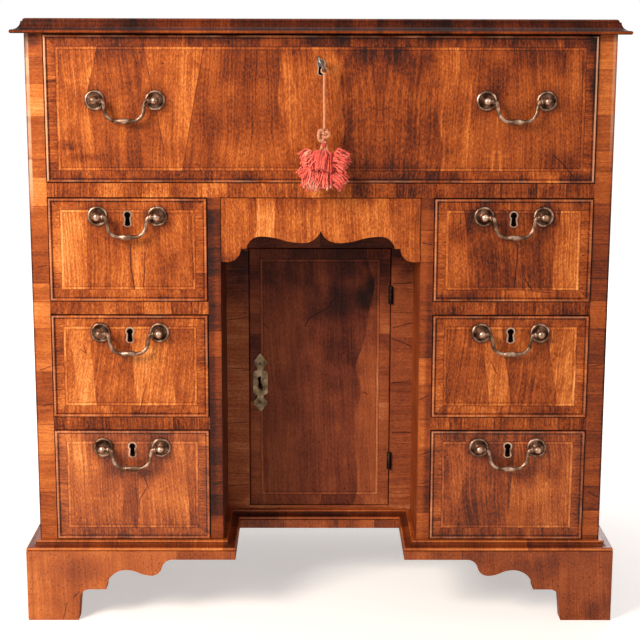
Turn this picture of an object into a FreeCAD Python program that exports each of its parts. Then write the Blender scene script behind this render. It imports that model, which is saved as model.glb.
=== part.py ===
import FreeCAD, Part
import math
import os

from FreeCAD import Vector

# A veneered kneehole desk: one long drawer over two banks of three small drawers,
# with a shaped apron drawer and a recessed cupboard between the banks, on bracket feet.
# Millimetres. X runs to the right, Y from the front to the back and Z up.
# The origin is on the floor, midway between the key's bow and the back boards.

# Width of the front, from the middle outwards
kneehole_width = 276.6
kneehole_side_thickness = 17.5
small_drawer_width = 220.0
side_thickness = 24.0

# Depth, from the front to the back
carcass_depth = 460.0
kneehole_depth = 140.0
facing_thickness = 4.0
back_thickness = 10.0
back_board_count = 4
back_board_gap = 1.0
back_board_lap = 8.0

# Height of the front, from the floor upwards; drawer heights are those of their openings
foot_height = 91.0
plinth_height = 12.5
base_moulding_height = 12.5
lower_drawer_height = 162.0
middle_drawer_height = 148.0
upper_drawer_height = 145.5
small_rail_height = 17.75
long_rail_height = 19.5
long_drawer_height = 201.5
top_thickness = 20.0

# Rails and dust boards
rail_depth = 55.0
dust_board_thickness = 9.0

# Moulded edge of the top
top_overhang = 17.0
top_moulding_inset = 13.0
top_nose_radius = 2.5
top_edge_radius = 4.0
top_step = 2.0

# Base moulding and plinth
base_projection = 18.0
base_bead_radius = 2.7
upper_bead_radius = 1.75
upper_bead_set_in = 13.0
base_cove_set_in = 4.7
plinth_thickness = 25.0

# Scroll outline of a bracket foot, measured from its outer corner and from the floor
foot_width = 72.0
foot_lean = 3.0
foot_shaft_height = 33.0
foot_hollow_radius = 13.5
foot_ledge = 24.0
foot_arch_radius = 29.0
foot_scroll_run = 36.0
foot_scroll_drop = 8.5
foot_lobe_run = 30.0
foot_bracket_end = 6.0
side_scroll_run = 14.0
side_ledge = 12.0
back_foot_width = 75.0
foot_block_width = 36.0
foot_block_lift = 2.0

# Drawers
drawer_side_fit = 1.0
drawer_top_fit = 1.2
drawer_bottom_fit = 0.8
front_thickness = 20.0
bead_width = 4.0
bead_proud = 2.5
bead_round = 1.6
lining_thickness = 9.0
lining_top_gap = 6.0
drawer_bottom_raise = 8.0
drawer_bottom_thickness = 6.0
drawer_back_drop = 6.0
drawer_back_gap = 20.0
stop_width = 40.0
stop_depth = 12.0
stop_height = 6.0
stop_gap = 0.3
stop_inset = 30.0

# Apron drawer; heights of its shaped edge are measured up from the bottom of its corners
apron_height = 89.5
apron_fit = 1.0
apron_cusp_rise = 43.5
apron_lobe_rise = 26.5
apron_lobe_offset = 24.0
apron_arch_rise = 35.5
apron_step_rise = 18.5
apron_corner_flat = 10.0
apron_corner_width = 16.5
apron_step_width = 8.0
apron_hollow_width = 20.0
apron_box_depth = 210.0
ceiling_thickness = 6.0
ceiling_cover = 2.0

# Cupboard
cupboard_stile_width = 32.6
cupboard_sill_height = 5.0
cupboard_top_rail_height = 46.0
door_fit = 1.0
door_thickness = 18.0
door_edge_round = 1.5
door_stop_width = 16.0
door_stop_depth = 10.0
door_stop_gap = 0.3

# Butt hinges of the cupboard door
hinge_length = 26.0
hinge_end_distance = 70.0
knuckle_radius = 3.4
knuckle_proud = 4.4
hinge_pin_radius = 1.4
hinge_fit = 0.15
knuckle_gap = 0.4
leaf_thickness = 1.2
leaf_reach = 15.0

# Swan-neck handles
post_spacing = 82.0
handle_drop = 26.0
long_handle_drop = 89.0
handle_axis_gap = 13.0
rose_radius = 14.2
rose_thickness = 4.0
rose_rim = 2.2
post_head_radius = 5.6
post_neck_radius = 3.4
post_stem_radius = 2.2
stem_fit = 0.1
nut_radius = 6.0
nut_thickness = 3.0
bail_radius = 2.7
bail_fit = 0.3
bail_pin_start = 1.6
bail_shoulder = 55.5
bail_lean = 10.0
bail_drop = 27.6
bail_neck_radius = 4.5
bail_corner_radius = 16.0
bail_knop_radius = 4.2
bail_knop_length = 27.0
bail_collar_radius = 4.1
bail_collar_length = 3.6
bail_collar_gap = 0.6

# Keyholes and their thread escutcheons
keyhole_drop = 30.0
long_keyhole_drop = 45.0
keyhole_head_radius = 4.4
keyhole_head_rise = 5.5
keyhole_neck_width = 4.6
keyhole_foot_width = 7.6
keyhole_foot_drop = 8.0
escutcheon_rim = 2.0
escutcheon_depth = 4.0
escutcheon_proud = 0.5
escutcheon_fit = 0.1

# Locks
lock_width = 56.0
lock_depth = 12.0
lock_below_keyhole = 20.0
long_lock_depth = 16.0
lock_plate = 3.0
key_chamber_depth = 6.0
bolt_width = 24.0
bolt_clearance = 0.4
bolt_throw = 9.0
bolt_rest_gap = 4.0
mortise_clearance = 2.0

# Key
key_bow_radius = 9.6
key_bow_wire = 2.0
key_bow_reach = 25.0
key_tilt = 27.0
key_shank_radius = 2.6
key_collar_radius = 3.8
key_collar_length = 4.0
key_collar_gap = 4.0
key_bit_length = 9.5
key_bit_thickness = 2.2
key_bit_clearance = 0.5
key_seat_fit = 0.3
key_seat_depth = 4.0

# Cord and tassel on the key
cord_radius = 1.8
cord_length = 76.0
cord_hang_gap = 0.3
tassel_knot_radius = 8.0
tassel_neck_radius = 4.0
tassel_neck_length = 8.0
lower_tuft_count = 4
lower_tuft_fan = 62.0
lower_tuft_length = 52.0
upper_tuft_count = 3
upper_tuft_fan = 116.0
upper_tuft_length = 35.0
upper_tuft_forward = 14.0
tuft_top_radius = 4.0
tuft_end_radius = 11.0
tuft_end_round = 5.0

# Shaped escutcheon plate of the cupboard door
plate_width = 21.5
plate_height = 37.0
plate_thickness = 1.6
plate_waist_width = 9.0
plate_waist_height = 4.0
plate_shoulder = 3.0
finial_height = 22.0
finial_pierce_radius = 1.6
plate_edge_distance = 16.0
plate_height_on_door = 191.0

# Places worked out from the sizes above
half_kneehole = kneehole_width / 2
bay_inner = half_kneehole + kneehole_side_thickness
bay_outer = bay_inner + small_drawer_width
half_carcass = bay_outer + side_thickness
bay_middle = (bay_inner + bay_outer) / 2

carcass_bottom = foot_height + plinth_height
bay_floor = carcass_bottom + base_moulding_height
middle_floor = bay_floor + lower_drawer_height + small_rail_height
upper_floor = middle_floor + middle_drawer_height + small_rail_height
long_rail_bottom = upper_floor + upper_drawer_height
long_floor = long_rail_bottom + long_rail_height
top_underside = long_floor + long_drawer_height
desk_height = top_underside + top_thickness

front_reach = key_bow_reach + key_bow_radius + key_bow_wire
front_y = (front_reach - carcass_depth) / 2
back_y = front_y + carcass_depth
lining_back_y = back_y - back_thickness
board_front_y = front_y + facing_thickness
front_back_y = front_y + front_thickness
recess_y = front_y + kneehole_depth
bail_axis_y = front_y - handle_axis_gap

apron_bottom = long_rail_bottom - apron_height
ceiling_bottom = apron_bottom + apron_cusp_rise + ceiling_cover
apron_floor = ceiling_bottom + ceiling_thickness

door_half_width = half_kneehole - cupboard_stile_width - door_fit
door_bottom = bay_floor + cupboard_sill_height + door_fit
door_top = ceiling_bottom - cupboard_top_rail_height - door_fit

bead_top_drop = drawer_top_fit + bead_width
key_z = top_underside - long_keyhole_drop + keyhole_head_rise
bit_swing = key_shank_radius + key_bit_length + key_bit_clearance
chamber_front_y = front_back_y + lock_plate
chamber_back_y = chamber_front_y + key_chamber_depth
mortise_depth = bolt_throw - bolt_rest_gap + mortise_clearance
hinge_x = door_half_width + door_fit / 2
hinge_y = recess_y - knuckle_proud + knuckle_radius

ALONG_X = Vector(1, 0, 0)
ALONG_Y = Vector(0, 1, 0)
ALONG_Z = Vector(0, 0, 1)
ORIGIN = Vector(0, 0, 0)


def block(x_range, y_range, z_range):
    """A plain board between three pairs of limits."""
    size = [high - low for low, high in (x_range, y_range, z_range)]
    corner = Vector(x_range[0], y_range[0], z_range[0])
    return Part.makeBox(size[0], size[1], size[2], corner)


def mirrored(shape):
    """The same piece on the other side of the desk."""
    return shape.mirror(ORIGIN, ALONG_X)


def both_sides(shape):
    """A piece and its mirror image."""
    return [shape, mirrored(shape)]


def rod(start, direction, length, radius):
    """A round bar."""
    return Part.makeCylinder(radius, length, start, direction)


def line(start, end):
    return Part.LineSegment(start, end).toShape()


def arc(start, through, end):
    return Part.Arc(start, through, end).toShape()


def lines(points):
    """Edges that join the points in turn."""
    return [line(start, end) for start, end in zip(points, points[1:])]


def face_of(edges):
    """A flat face inside a closed run of edges."""
    return Part.Face(Part.Wire(Part.__sortEdges__(edges)))


def prism(points, travel):
    """A straight-sided solid over a closed flat outline."""
    return face_of(lines(points + points[:1])).extrude(travel)


def plan_prism(points, z_range):
    """A solid over an outline given in plan as (x, y) pairs."""
    corners = [Vector(x, y, z_range[0]) for x, y in points]
    return prism(corners, ALONG_Z * (z_range[1] - z_range[0]))


def save(node, solids):
    """Write the solids of one node to its file."""
    Part.makeCompound(solids).exportStep("parts/" + node + ".step")


def tangent_arc(start, end, place):
    """An arc that leaves start level and ends at end; both are (run, rise) pairs."""
    run = end[0] - start[0]
    rise = end[1] - start[1]
    radius = (run * run + rise * rise) / (2 * abs(rise))
    turn = math.copysign(1, rise)
    half_angle = math.atan2(abs(rise), abs(run))
    middle_run = math.copysign(radius * math.sin(half_angle), run)
    middle_rise = turn * radius * (1 - math.cos(half_angle))
    middle = (start[0] + middle_run, start[1] + middle_rise)
    return arc(place(start), place(middle), place(end))


def ogee(start, end, place):
    """An S of two equal arcs, level at both ends."""
    middle = ((start[0] + end[0]) / 2, (start[1] + end[1]) / 2)
    return [tangent_arc(start, middle, place), tangent_arc(end, middle, place)]


def quarter(centre, radius, from_angle, to_angle, place):
    """An arc round a centre between two angles in degrees."""
    points = []
    for angle in (from_angle, (from_angle + to_angle) / 2, to_angle):
        turn = math.radians(angle)
        points.append((centre[0] + radius * math.cos(turn), centre[1] + radius * math.sin(turn)))
    return arc(place(points[0]), place(points[1]), place(points[2]))


# Moulded and mitred runs round the carcass
# A path is a list of corners in plan; outwards is on the right hand along the path.

top_path = [
    (-half_carcass, back_y),
    (-half_carcass, front_y),
    (half_carcass, front_y),
    (half_carcass, back_y),
]

base_path = [
    (-half_carcass, back_y),
    (-half_carcass, front_y),
    (-half_kneehole, front_y),
    (-half_kneehole, recess_y),
    (half_kneehole, recess_y),
    (half_kneehole, front_y),
    (half_carcass, front_y),
    (half_carcass, back_y),
]


def outward(start, end):
    """The direction in plan that points out of the carcass, beside one length of a path."""
    length = math.dist(start, end)
    return ((end[1] - start[1]) / length, (start[0] - end[0]) / length)


def offset_path(path, distance):
    """The path moved outwards, with mitred corners."""
    sides = [outward(start, end) for start, end in zip(path, path[1:])]
    moved = []
    for index, (x, y) in enumerate(path):
        touching = {sides[max(index - 1, 0)], sides[min(index, len(sides) - 1)]}
        shift_x = sum(side[0] for side in touching)
        shift_y = sum(side[1] for side in touching)
        moved.append((x + distance * shift_x, y + distance * shift_y))
    return moved


def mitre_plans(path, inner, outer):
    """The plan of each mitred length between two offsets of a path."""
    inside = offset_path(path, inner)
    outside = offset_path(path, outer)
    plans = []
    for index in range(len(path) - 1):
        plans.append([inside[index], inside[index + 1], outside[index + 1], outside[index]])
    return plans


def moulded_runs(path, inner, outer, z_range, section):
    """Mitred lengths of a moulding; section gives its edges for a place function."""
    runs = []
    for index, plan in enumerate(mitre_plans(path, inner, outer)):
        start, end = path[index], path[index + 1]
        side = outward(start, end)
        length = math.dist(start, end)
        along = ((end[0] - start[0]) / length, (end[1] - start[1]) / length)
        spare = max(abs(inner), abs(outer))

        def place(point):
            x = start[0] + side[0] * point[0] - along[0] * spare
            y = start[1] + side[1] * point[0] - along[1] * spare
            return Vector(x, y, z_range[0] + point[1])

        travel = Vector(along[0], along[1], 0) * (length + 2 * spare)
        bar = face_of(section(place)).extrude(travel)
        runs.append(bar.common(plan_prism(plan, z_range)).Solids[0])
    return runs


def top_section(place):
    """Nose, hollow, step and rounded top edge, from the underside up."""
    inner = -top_moulding_inset
    nose = top_overhang - top_nose_radius
    nose_top = 2 * top_nose_radius
    step_z = top_thickness - top_edge_radius
    hollow = step_z - nose_top
    hollow_end = nose - hollow
    edge_start = hollow_end - top_step
    edges = lines([place((inner, 0)), place((nose, 0))])
    edges.append(quarter((nose, top_nose_radius), top_nose_radius, -90, 90, place))
    edges.append(quarter((nose, step_z), hollow, 270, 180, place))
    edges += lines([place((hollow_end, step_z)), place((edge_start, step_z))])
    edges.append(quarter((edge_start - top_edge_radius, step_z), top_edge_radius, 0, 90, place))
    edges += lines(
        [
            place((edge_start - top_edge_radius, top_thickness)),
            place((inner, top_thickness)),
            place((inner, 0)),
        ]
    )
    return edges


def base_section(place):
    """Large bead at the bottom, cove, and small bead against the carcass."""
    bead = base_projection - base_bead_radius
    bead_top = 2 * base_bead_radius
    cove_start = bead - base_cove_set_in / 2
    small = base_projection - upper_bead_set_in
    small_bottom = base_moulding_height - 2 * upper_bead_radius
    edges = lines([place((0, 0)), place((bead, 0))])
    edges.append(quarter((bead, base_bead_radius), base_bead_radius, -90, 90, place))
    edges += lines([place((bead, bead_top)), place((cove_start, bead_top))])
    edges.append(tangent_arc((cove_start, bead_top), (small, small_bottom), place))
    edges.append(
        quarter((small, small_bottom + upper_bead_radius), upper_bead_radius, -90, 90, place)
    )
    edges += lines([place((small, base_moulding_height)), place((0, base_moulding_height))])
    edges += lines([place((0, base_moulding_height)), place((0, 0))])
    return edges


# Carcass boards


def make_carcass():
    board_y = (board_front_y, back_y)
    inner_y = (board_front_y, lining_back_y)
    bay_x = (bay_inner, bay_outer)

    mortise_half = bolt_width / 2 + mortise_clearance
    mortise = block(
        (-mortise_half, mortise_half),
        (chamber_front_y - mortise_clearance, chamber_back_y + mortise_clearance),
        (top_underside, top_underside + mortise_depth),
    )
    top_half = half_carcass - top_moulding_inset
    top_board = block(
        (-top_half, top_half),
        (front_y + top_moulding_inset, back_y),
        (top_underside, desk_height),
    )
    save("top_board", [top_board.cut(mortise)])
    top_z = (top_underside, desk_height)
    save("top_moulding", moulded_runs(top_path, -top_moulding_inset, top_overhang, top_z, top_section))

    side = block((bay_outer, half_carcass), board_y, (carcass_bottom, top_underside))
    save("right_side", [side])
    save("left_side", [mirrored(side)])

    inner_side = block((half_kneehole, bay_inner), inner_y, (carcass_bottom, long_rail_bottom))
    save("right_kneehole_side", [inner_side])
    save("left_kneehole_side", [mirrored(inner_side)])

    facing_y = (front_y, board_front_y)
    outer_facing = block((bay_outer, half_carcass), facing_y, (carcass_bottom, top_underside))
    inner_facing = block((half_kneehole, bay_inner), facing_y, (carcass_bottom, long_rail_bottom))
    save("stile_facings", both_sides(outer_facing) + both_sides(inner_facing))

    # Each back board laps its neighbour at half its thickness, so that no light comes through
    board_pitch = 2 * bay_outer / back_board_count
    board_z = (carcass_bottom, top_underside)
    lap_y = back_y - back_thickness / 2
    back_boards = []
    for index in range(back_board_count):
        left = -bay_outer + index * board_pitch + back_board_gap / 2
        right = left + board_pitch - back_board_gap
        left_lap = back_board_lap if index > 0 else 0
        right_lap = back_board_lap if index < back_board_count - 1 else 0
        inner_half = block((left + left_lap, right + right_lap), (lining_back_y, lap_y), board_z)
        outer_half = block((left, right), (lap_y, back_y), board_z)
        back_boards.append(inner_half.fuse(outer_half).removeSplitter().Solids[0])
    save("back_boards", back_boards)

    rail_y = (front_y, front_y + rail_depth)
    dust_y = (front_y + rail_depth, lining_back_y)
    rails = [block((-bay_outer, bay_outer), rail_y, (long_rail_bottom, long_floor))]
    dust_boards = [block((-bay_outer, bay_outer), dust_y, (long_rail_bottom, long_floor))]
    for floor in (middle_floor, upper_floor):
        rails += both_sides(block(bay_x, rail_y, (floor - small_rail_height, floor)))
        dust_boards += both_sides(block(bay_x, dust_y, (floor - dust_board_thickness, floor)))
    ceiling_y = (front_back_y + stop_gap, lining_back_y)
    kneehole_x = (-half_kneehole, half_kneehole)
    dust_boards.append(block(kneehole_x, ceiling_y, (ceiling_bottom, apron_floor)))
    save("drawer_rails", rails)
    save("dust_boards", dust_boards)

    bottom_z = (carcass_bottom, bay_floor)
    bottoms = both_sides(block(bay_x, (front_y, lining_back_y), bottom_z))
    bottoms.append(block(kneehole_x, (recess_y, lining_back_y), bottom_z))
    save("bottom_boards", bottoms)

    stops = []
    stop_y = (front_back_y + stop_gap, front_back_y + stop_gap + stop_depth)
    small_stop_x = (
        (bay_inner + stop_inset, bay_inner + stop_inset + stop_width),
        (bay_outer - stop_inset - stop_width, bay_outer - stop_inset),
    )
    for floor in (bay_floor, middle_floor, upper_floor):
        for reach in small_stop_x:
            stops += both_sides(block(reach, stop_y, (floor, floor + stop_height)))
    stops += both_sides(block(small_stop_x[1], stop_y, (long_floor, long_floor + stop_height)))
    apron_stop_x = (half_kneehole - stop_inset - stop_width, half_kneehole - stop_inset)
    stops += both_sides(block(apron_stop_x, stop_y, (apron_floor, apron_floor + stop_height)))
    save("drawer_stops", stops)


# Base moulding, plinth and feet


def bracket_edges(place, ledge, scroll_run):
    """Scroll outline of a bracket, from its outer bottom corner round to the top."""
    shaft_top = foot_width + foot_lean
    hollow_top = foot_shaft_height + foot_hollow_radius
    hollow_end = shaft_top + foot_hollow_radius
    arch_start = hollow_end + ledge
    arch_end = arch_start + foot_arch_radius
    arch_top = hollow_top + foot_arch_radius
    lobe = (arch_end + scroll_run, arch_top - foot_scroll_drop)
    strip_start = (lobe[0] + foot_lobe_run, foot_height)
    end = strip_start[0] + foot_bracket_end
    edges = lines([place((0, 0)), place((foot_width, 0)), place((shaft_top, foot_shaft_height))])
    edges.append(
        quarter((hollow_end, foot_shaft_height), foot_hollow_radius, 180, 90, place)
    )
    edges += lines([place((hollow_end, hollow_top)), place((arch_start, hollow_top))])
    edges.append(quarter((arch_end, hollow_top), foot_arch_radius, 180, 90, place))
    edges += ogee((arch_end, arch_top), lobe, place)
    edges += ogee(lobe, strip_start, place)
    edges += lines(
        [
            place(strip_start),
            place((end, foot_height)),
            place((end, carcass_bottom)),
            place((0, carcass_bottom)),
            place((0, 0)),
        ]
    )
    return edges, end


def make_base():
    base_z = (carcass_bottom, bay_floor)
    save("base_moulding", moulded_runs(base_path, 0, base_projection, base_z, base_section))

    plinth_inner = base_projection - plinth_thickness
    outer_x = half_carcass + base_projection
    outer_y = front_y - base_projection
    foot_z = (0, carcass_bottom)

    def front_place(point):
        return Vector(outer_x - point[0], outer_y, point[1])

    def side_place(point):
        return Vector(outer_x, outer_y + point[0], point[1])

    def rear_place(point):
        return Vector(outer_x, back_y - point[0], point[1])

    # The front bracket and the side bracket share the two halves of a mitred corner.
    front_edges, front_end = bracket_edges(front_place, foot_ledge, foot_scroll_run)
    side_edges, side_end = bracket_edges(side_place, side_ledge, side_scroll_run)
    rear_edges, rear_end = bracket_edges(rear_place, side_ledge, side_scroll_run)
    inner_corner = (outer_x - plinth_thickness, outer_y + plinth_thickness)
    front_plan = [
        (outer_x, outer_y),
        inner_corner,
        (outer_x - front_end, inner_corner[1]),
        (outer_x - front_end, outer_y),
    ]
    side_plan = [
        (outer_x, outer_y),
        inner_corner,
        (inner_corner[0], outer_y + side_end),
        (outer_x, outer_y + side_end),
    ]
    front_bar = face_of(front_edges).extrude(ALONG_Y * plinth_thickness)
    side_bar = face_of(side_edges).extrude(ALONG_X * -plinth_thickness)
    front_bracket = front_bar.common(plan_prism(front_plan, foot_z)).Solids[0]
    side_bracket = side_bar.common(plan_prism(side_plan, foot_z)).Solids[0]
    save("front_right_foot", [front_bracket, side_bracket])
    save("front_left_foot", [mirrored(front_bracket), mirrored(side_bracket)])

    rear_bracket = face_of(rear_edges).extrude(ALONG_X * -plinth_thickness)
    back_bracket = block(
        (inner_corner[0] - back_foot_width, inner_corner[0]),
        (back_y - plinth_thickness, back_y),
        foot_z,
    )
    save("back_feet", both_sides(rear_bracket) + both_sides(back_bracket))

    block_x = (inner_corner[0] - foot_block_width, inner_corner[0])
    block_z = (foot_block_lift, carcass_bottom)
    front_block = block(block_x, (inner_corner[1], inner_corner[1] + foot_block_width), block_z)
    rear_end_y = back_y - plinth_thickness
    rear_block = block(block_x, (rear_end_y - foot_block_width, rear_end_y), block_z)
    save("foot_blocks", both_sides(front_block) + both_sides(rear_block))

    # The plinth strip fills the path between the brackets.
    strips = []
    strip_z = (foot_height, carcass_bottom)
    plans = mitre_plans(base_path, plinth_inner, base_projection)
    for index, plan in enumerate(plans):
        strip = plan_prism(plan, strip_z)
        if index in (0, len(plans) - 1):
            keep_y = (outer_y + side_end, back_y - rear_end)
            keep = block((-outer_x, outer_x), keep_y, strip_z)
            strip = strip.common(keep).Solids[0]
        if index in (1, len(plans) - 2):
            keep_x = (-outer_x + front_end, outer_x - front_end)
            keep = block(keep_x, (outer_y, recess_y), strip_z)
            strip = strip.common(keep).Solids[0]
        strips.append(strip)
    save("plinth_strips", strips)


# Cupboard


def hinge_heights():
    """Middle heights of the two hinges."""
    return (door_bottom + hinge_end_distance, door_top - hinge_end_distance)


def knuckle_room(middle):
    """The round space that a hinge's knuckles take out of the door and the frame."""
    start = Vector(hinge_x, hinge_y, middle - hinge_length / 2 - knuckle_gap)
    return rod(start, ALONG_Z, hinge_length + 2 * knuckle_gap, knuckle_radius + knuckle_gap)


def leaf_pocket(x_range, middle):
    """The shallow pocket that a hinge leaf is let into."""
    z_range = (middle - hinge_length / 2, middle + hinge_length / 2)
    return block(x_range, (recess_y, recess_y + leaf_reach), z_range)


def hinge_leaf(x_range, middle, knuckle_spans):
    """A leaf with its own knuckles, bored for the pin."""
    low = middle - hinge_length / 2
    plate_y = (hinge_y + knuckle_radius + knuckle_gap, recess_y + leaf_reach)
    leaf = block(x_range, plate_y, (low, low + hinge_length))
    for span in knuckle_spans:
        z_range = (low + span[0], low + span[1])
        length = span[1] - span[0]
        start = Vector(hinge_x, hinge_y, z_range[0])
        leaf = leaf.fuse(rod(start, ALONG_Z, length, knuckle_radius))
        leaf = leaf.fuse(block(x_range, (hinge_y, plate_y[1]), z_range))
        leaf = leaf.cut(rod(start, ALONG_Z, length, hinge_pin_radius + hinge_fit))
    return leaf.removeSplitter().Solids[0]


def finial(direction):
    """Half outlines of the leaf-shaped end of the escutcheon plate."""
    half = plate_width / 2
    cusps = [(0.42, 0.0), (0.72, 0.18), (1.0, 0.3), (0.84, 0.42), (0.9, 0.52), (0.5, 0.66), (0.46, 0.78)]
    right = [(half * wide, direction * finial_height * rise) for wide, rise in cusps]
    left = [(-x, z) for x, z in reversed(right)]
    return right + [(0, direction * finial_height)] + left


def make_cupboard():
    frame_y = (recess_y, recess_y + door_thickness)
    opening_half = door_half_width + door_fit
    opening_z = (door_bottom - door_fit, door_top + door_fit)
    stile = block((opening_half, half_kneehole), frame_y, (bay_floor, ceiling_bottom))
    right_stile = stile
    frame_leaf_x = (opening_half, opening_half + leaf_thickness)
    door_leaf_x = (door_half_width - leaf_thickness, door_half_width)
    door = block((-door_half_width, door_half_width), frame_y, (door_bottom, door_top))
    front_edges = [edge for edge in door.Edges if edge.BoundBox.YMax < recess_y + door_edge_round]
    door = door.makeFillet(door_edge_round, front_edges)
    for middle in hinge_heights():
        right_stile = right_stile.cut(knuckle_room(middle)).cut(leaf_pocket(frame_leaf_x, middle))
        door = door.cut(knuckle_room(middle)).cut(leaf_pocket(door_leaf_x, middle))
    top_rail = block((-opening_half, opening_half), frame_y, (opening_z[1], ceiling_bottom))
    sill = block((-opening_half, opening_half), frame_y, (bay_floor, opening_z[0]))
    stop_y = (frame_y[1] + door_stop_gap, frame_y[1] + door_stop_gap + door_stop_depth)
    door_stop = block(
        (-opening_half - door_stop_width / 2, -opening_half + door_stop_width / 2),
        stop_y,
        (bay_floor, ceiling_bottom),
    )
    save("cupboard_frame", [mirrored(stile), right_stile, top_rail, sill, door_stop])

    # Each leaf has its share of the five knuckles; the pin belongs to the frame.
    pitch = hinge_length / 5
    gap = knuckle_gap / 2
    spans = [(index * pitch + gap, (index + 1) * pitch - gap) for index in range(5)]
    frame_leaves = []
    door_leaves = []
    for middle in hinge_heights():
        frame_leaves.append(hinge_leaf(frame_leaf_x, middle, spans[0::2]))
        door_leaves.append(hinge_leaf(door_leaf_x, middle, spans[1::2]))
        pin_start = Vector(hinge_x, hinge_y, middle - hinge_length / 2)
        frame_leaves.append(rod(pin_start, ALONG_Z, hinge_length, hinge_pin_radius))
    save("frame_hinge_leaves", frame_leaves)
    save("door_hinge_leaves", door_leaves)

    # Escutcheon plate, keyhole and lock near the free edge of the door
    plate_x = -door_half_width + plate_edge_distance
    plate_z = door_bottom + plate_height_on_door
    half_width = plate_width / 2
    half_height = plate_height / 2
    body = [
        (half_width - plate_shoulder, half_height),
        (half_width, half_height - plate_shoulder),
        (half_width, -half_height + plate_shoulder),
        (half_width - plate_shoulder, -half_height),
        (-half_width + plate_shoulder, -half_height),
        (-half_width, -half_height + plate_shoulder),
        (-half_width, half_height - plate_shoulder),
        (-half_width + plate_shoulder, half_height),
    ]

    def plate_part(points, lift):
        corners = [Vector(plate_x + x, recess_y - plate_thickness, plate_z + lift + z) for x, z in points]
        return prism(corners, ALONG_Y * plate_thickness)

    plate = plate_part(body, 0)
    waist_half = plate_waist_width / 2
    neck_end = half_height + plate_waist_height
    for direction in (1, -1):
        neck = [
            (-waist_half, direction * half_height),
            (waist_half, direction * half_height),
            (waist_half, direction * neck_end),
            (-waist_half, direction * neck_end),
        ]
        plate = plate.fuse(plate_part(neck, 0)).fuse(plate_part(finial(direction), direction * neck_end))
        pierce_z = plate_z + direction * (neck_end + finial_height / 3)
        pierce_start = Vector(plate_x, recess_y - plate_thickness, pierce_z)
        plate = plate.cut(rod(pierce_start, ALONG_Y, plate_thickness, finial_pierce_radius))
    hole_y = (recess_y - plate_thickness, recess_y + door_thickness)
    hole = keyhole(plate_x, plate_z, hole_y, 0)
    lock_half = lock_width / 2
    lock_z = (plate_z - lock_half, plate_z + lock_half)
    lock_x = (-door_half_width + door_stop_width, plate_x + lock_below_keyhole)
    lock = block(lock_x, (frame_y[1], frame_y[1] + lock_depth), lock_z)
    save("door_fittings", [plate.cut(hole).removeSplitter().Solids[0], lock])
    save("cupboard_door", [door.cut(hole)])


# Drawers


def keyhole(x, z, y_range, growth):
    """A keyhole-shaped plug round a keyhole's centre, made larger by growth."""
    depth = y_range[1] - y_range[0]
    head = rod(
        Vector(x, y_range[0], z + keyhole_head_rise), ALONG_Y, depth, keyhole_head_radius + growth
    )
    neck = keyhole_neck_width / 2 + growth
    foot = keyhole_foot_width / 2 + growth
    bottom = -keyhole_foot_drop
    corners = [(neck, keyhole_head_rise), (foot, bottom), (-foot, bottom), (-neck, keyhole_head_rise)]

    def place(point):
        return Vector(x + point[0], y_range[0], z + point[1])

    edges = lines([place(corners[1]), place(corners[0]), place(corners[3]), place(corners[2])])
    edges.append(arc(place(corners[2]), place((0, bottom - foot / 2)), place(corners[1])))
    skirt = face_of(edges).extrude(ALONG_Y * depth)
    return head.fuse(skirt).removeSplitter().Solids[0]


def bead_strip(corners):
    """One mitred strip of cockbead with a rounded nose, from its corners in (x, z)."""
    points = [Vector(x, front_y - bead_proud, z) for x, z in corners]
    strip = prism(points, ALONG_Y * (bead_proud + front_thickness))
    long_edges = []
    for edge in strip.Edges:
        on_nose = edge.BoundBox.YMax < front_y - bead_proud / 2
        if on_nose and edge.Length > 2 * bead_width:
            long_edges.append(edge)
    return strip.makeFillet(bead_round, long_edges)


def bead_frame(x_range, z_range):
    """Four strips of cockbead round a drawer front."""
    (x0, x1), (z0, z1) = x_range, z_range
    a, b = x0 + bead_width, x1 - bead_width
    c, d = z0 + bead_width, z1 - bead_width
    return [
        bead_strip([(x0, z1), (x1, z1), (b, d), (a, d)]),
        bead_strip([(x0, z0), (x1, z0), (b, c), (a, c)]),
        bead_strip([(x0, z0), (a, c), (a, d), (x0, z1)]),
        bead_strip([(x1, z0), (b, c), (b, d), (x1, z1)]),
    ]


def lining(x_range, z_range, depth):
    """Sides, bottom and back of a drawer, behind its front."""
    (x0, x1), (z0, z1) = x_range, z_range
    y_range = (front_back_y, front_back_y + depth)
    inside = (x0 + lining_thickness, x1 - lining_thickness)
    side_z = (z0, z1 - lining_top_gap)
    bottom_z = (z0 + drawer_bottom_raise, z0 + drawer_bottom_raise + drawer_bottom_thickness)
    back_y_range = (y_range[1] - lining_thickness, y_range[1])
    return [
        block((x0, inside[0]), y_range, side_z),
        block((inside[1], x1), y_range, side_z),
        block(inside, y_range, bottom_z),
        block(inside, back_y_range, (bottom_z[1], side_z[1] - drawer_back_drop)),
    ]


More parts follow.
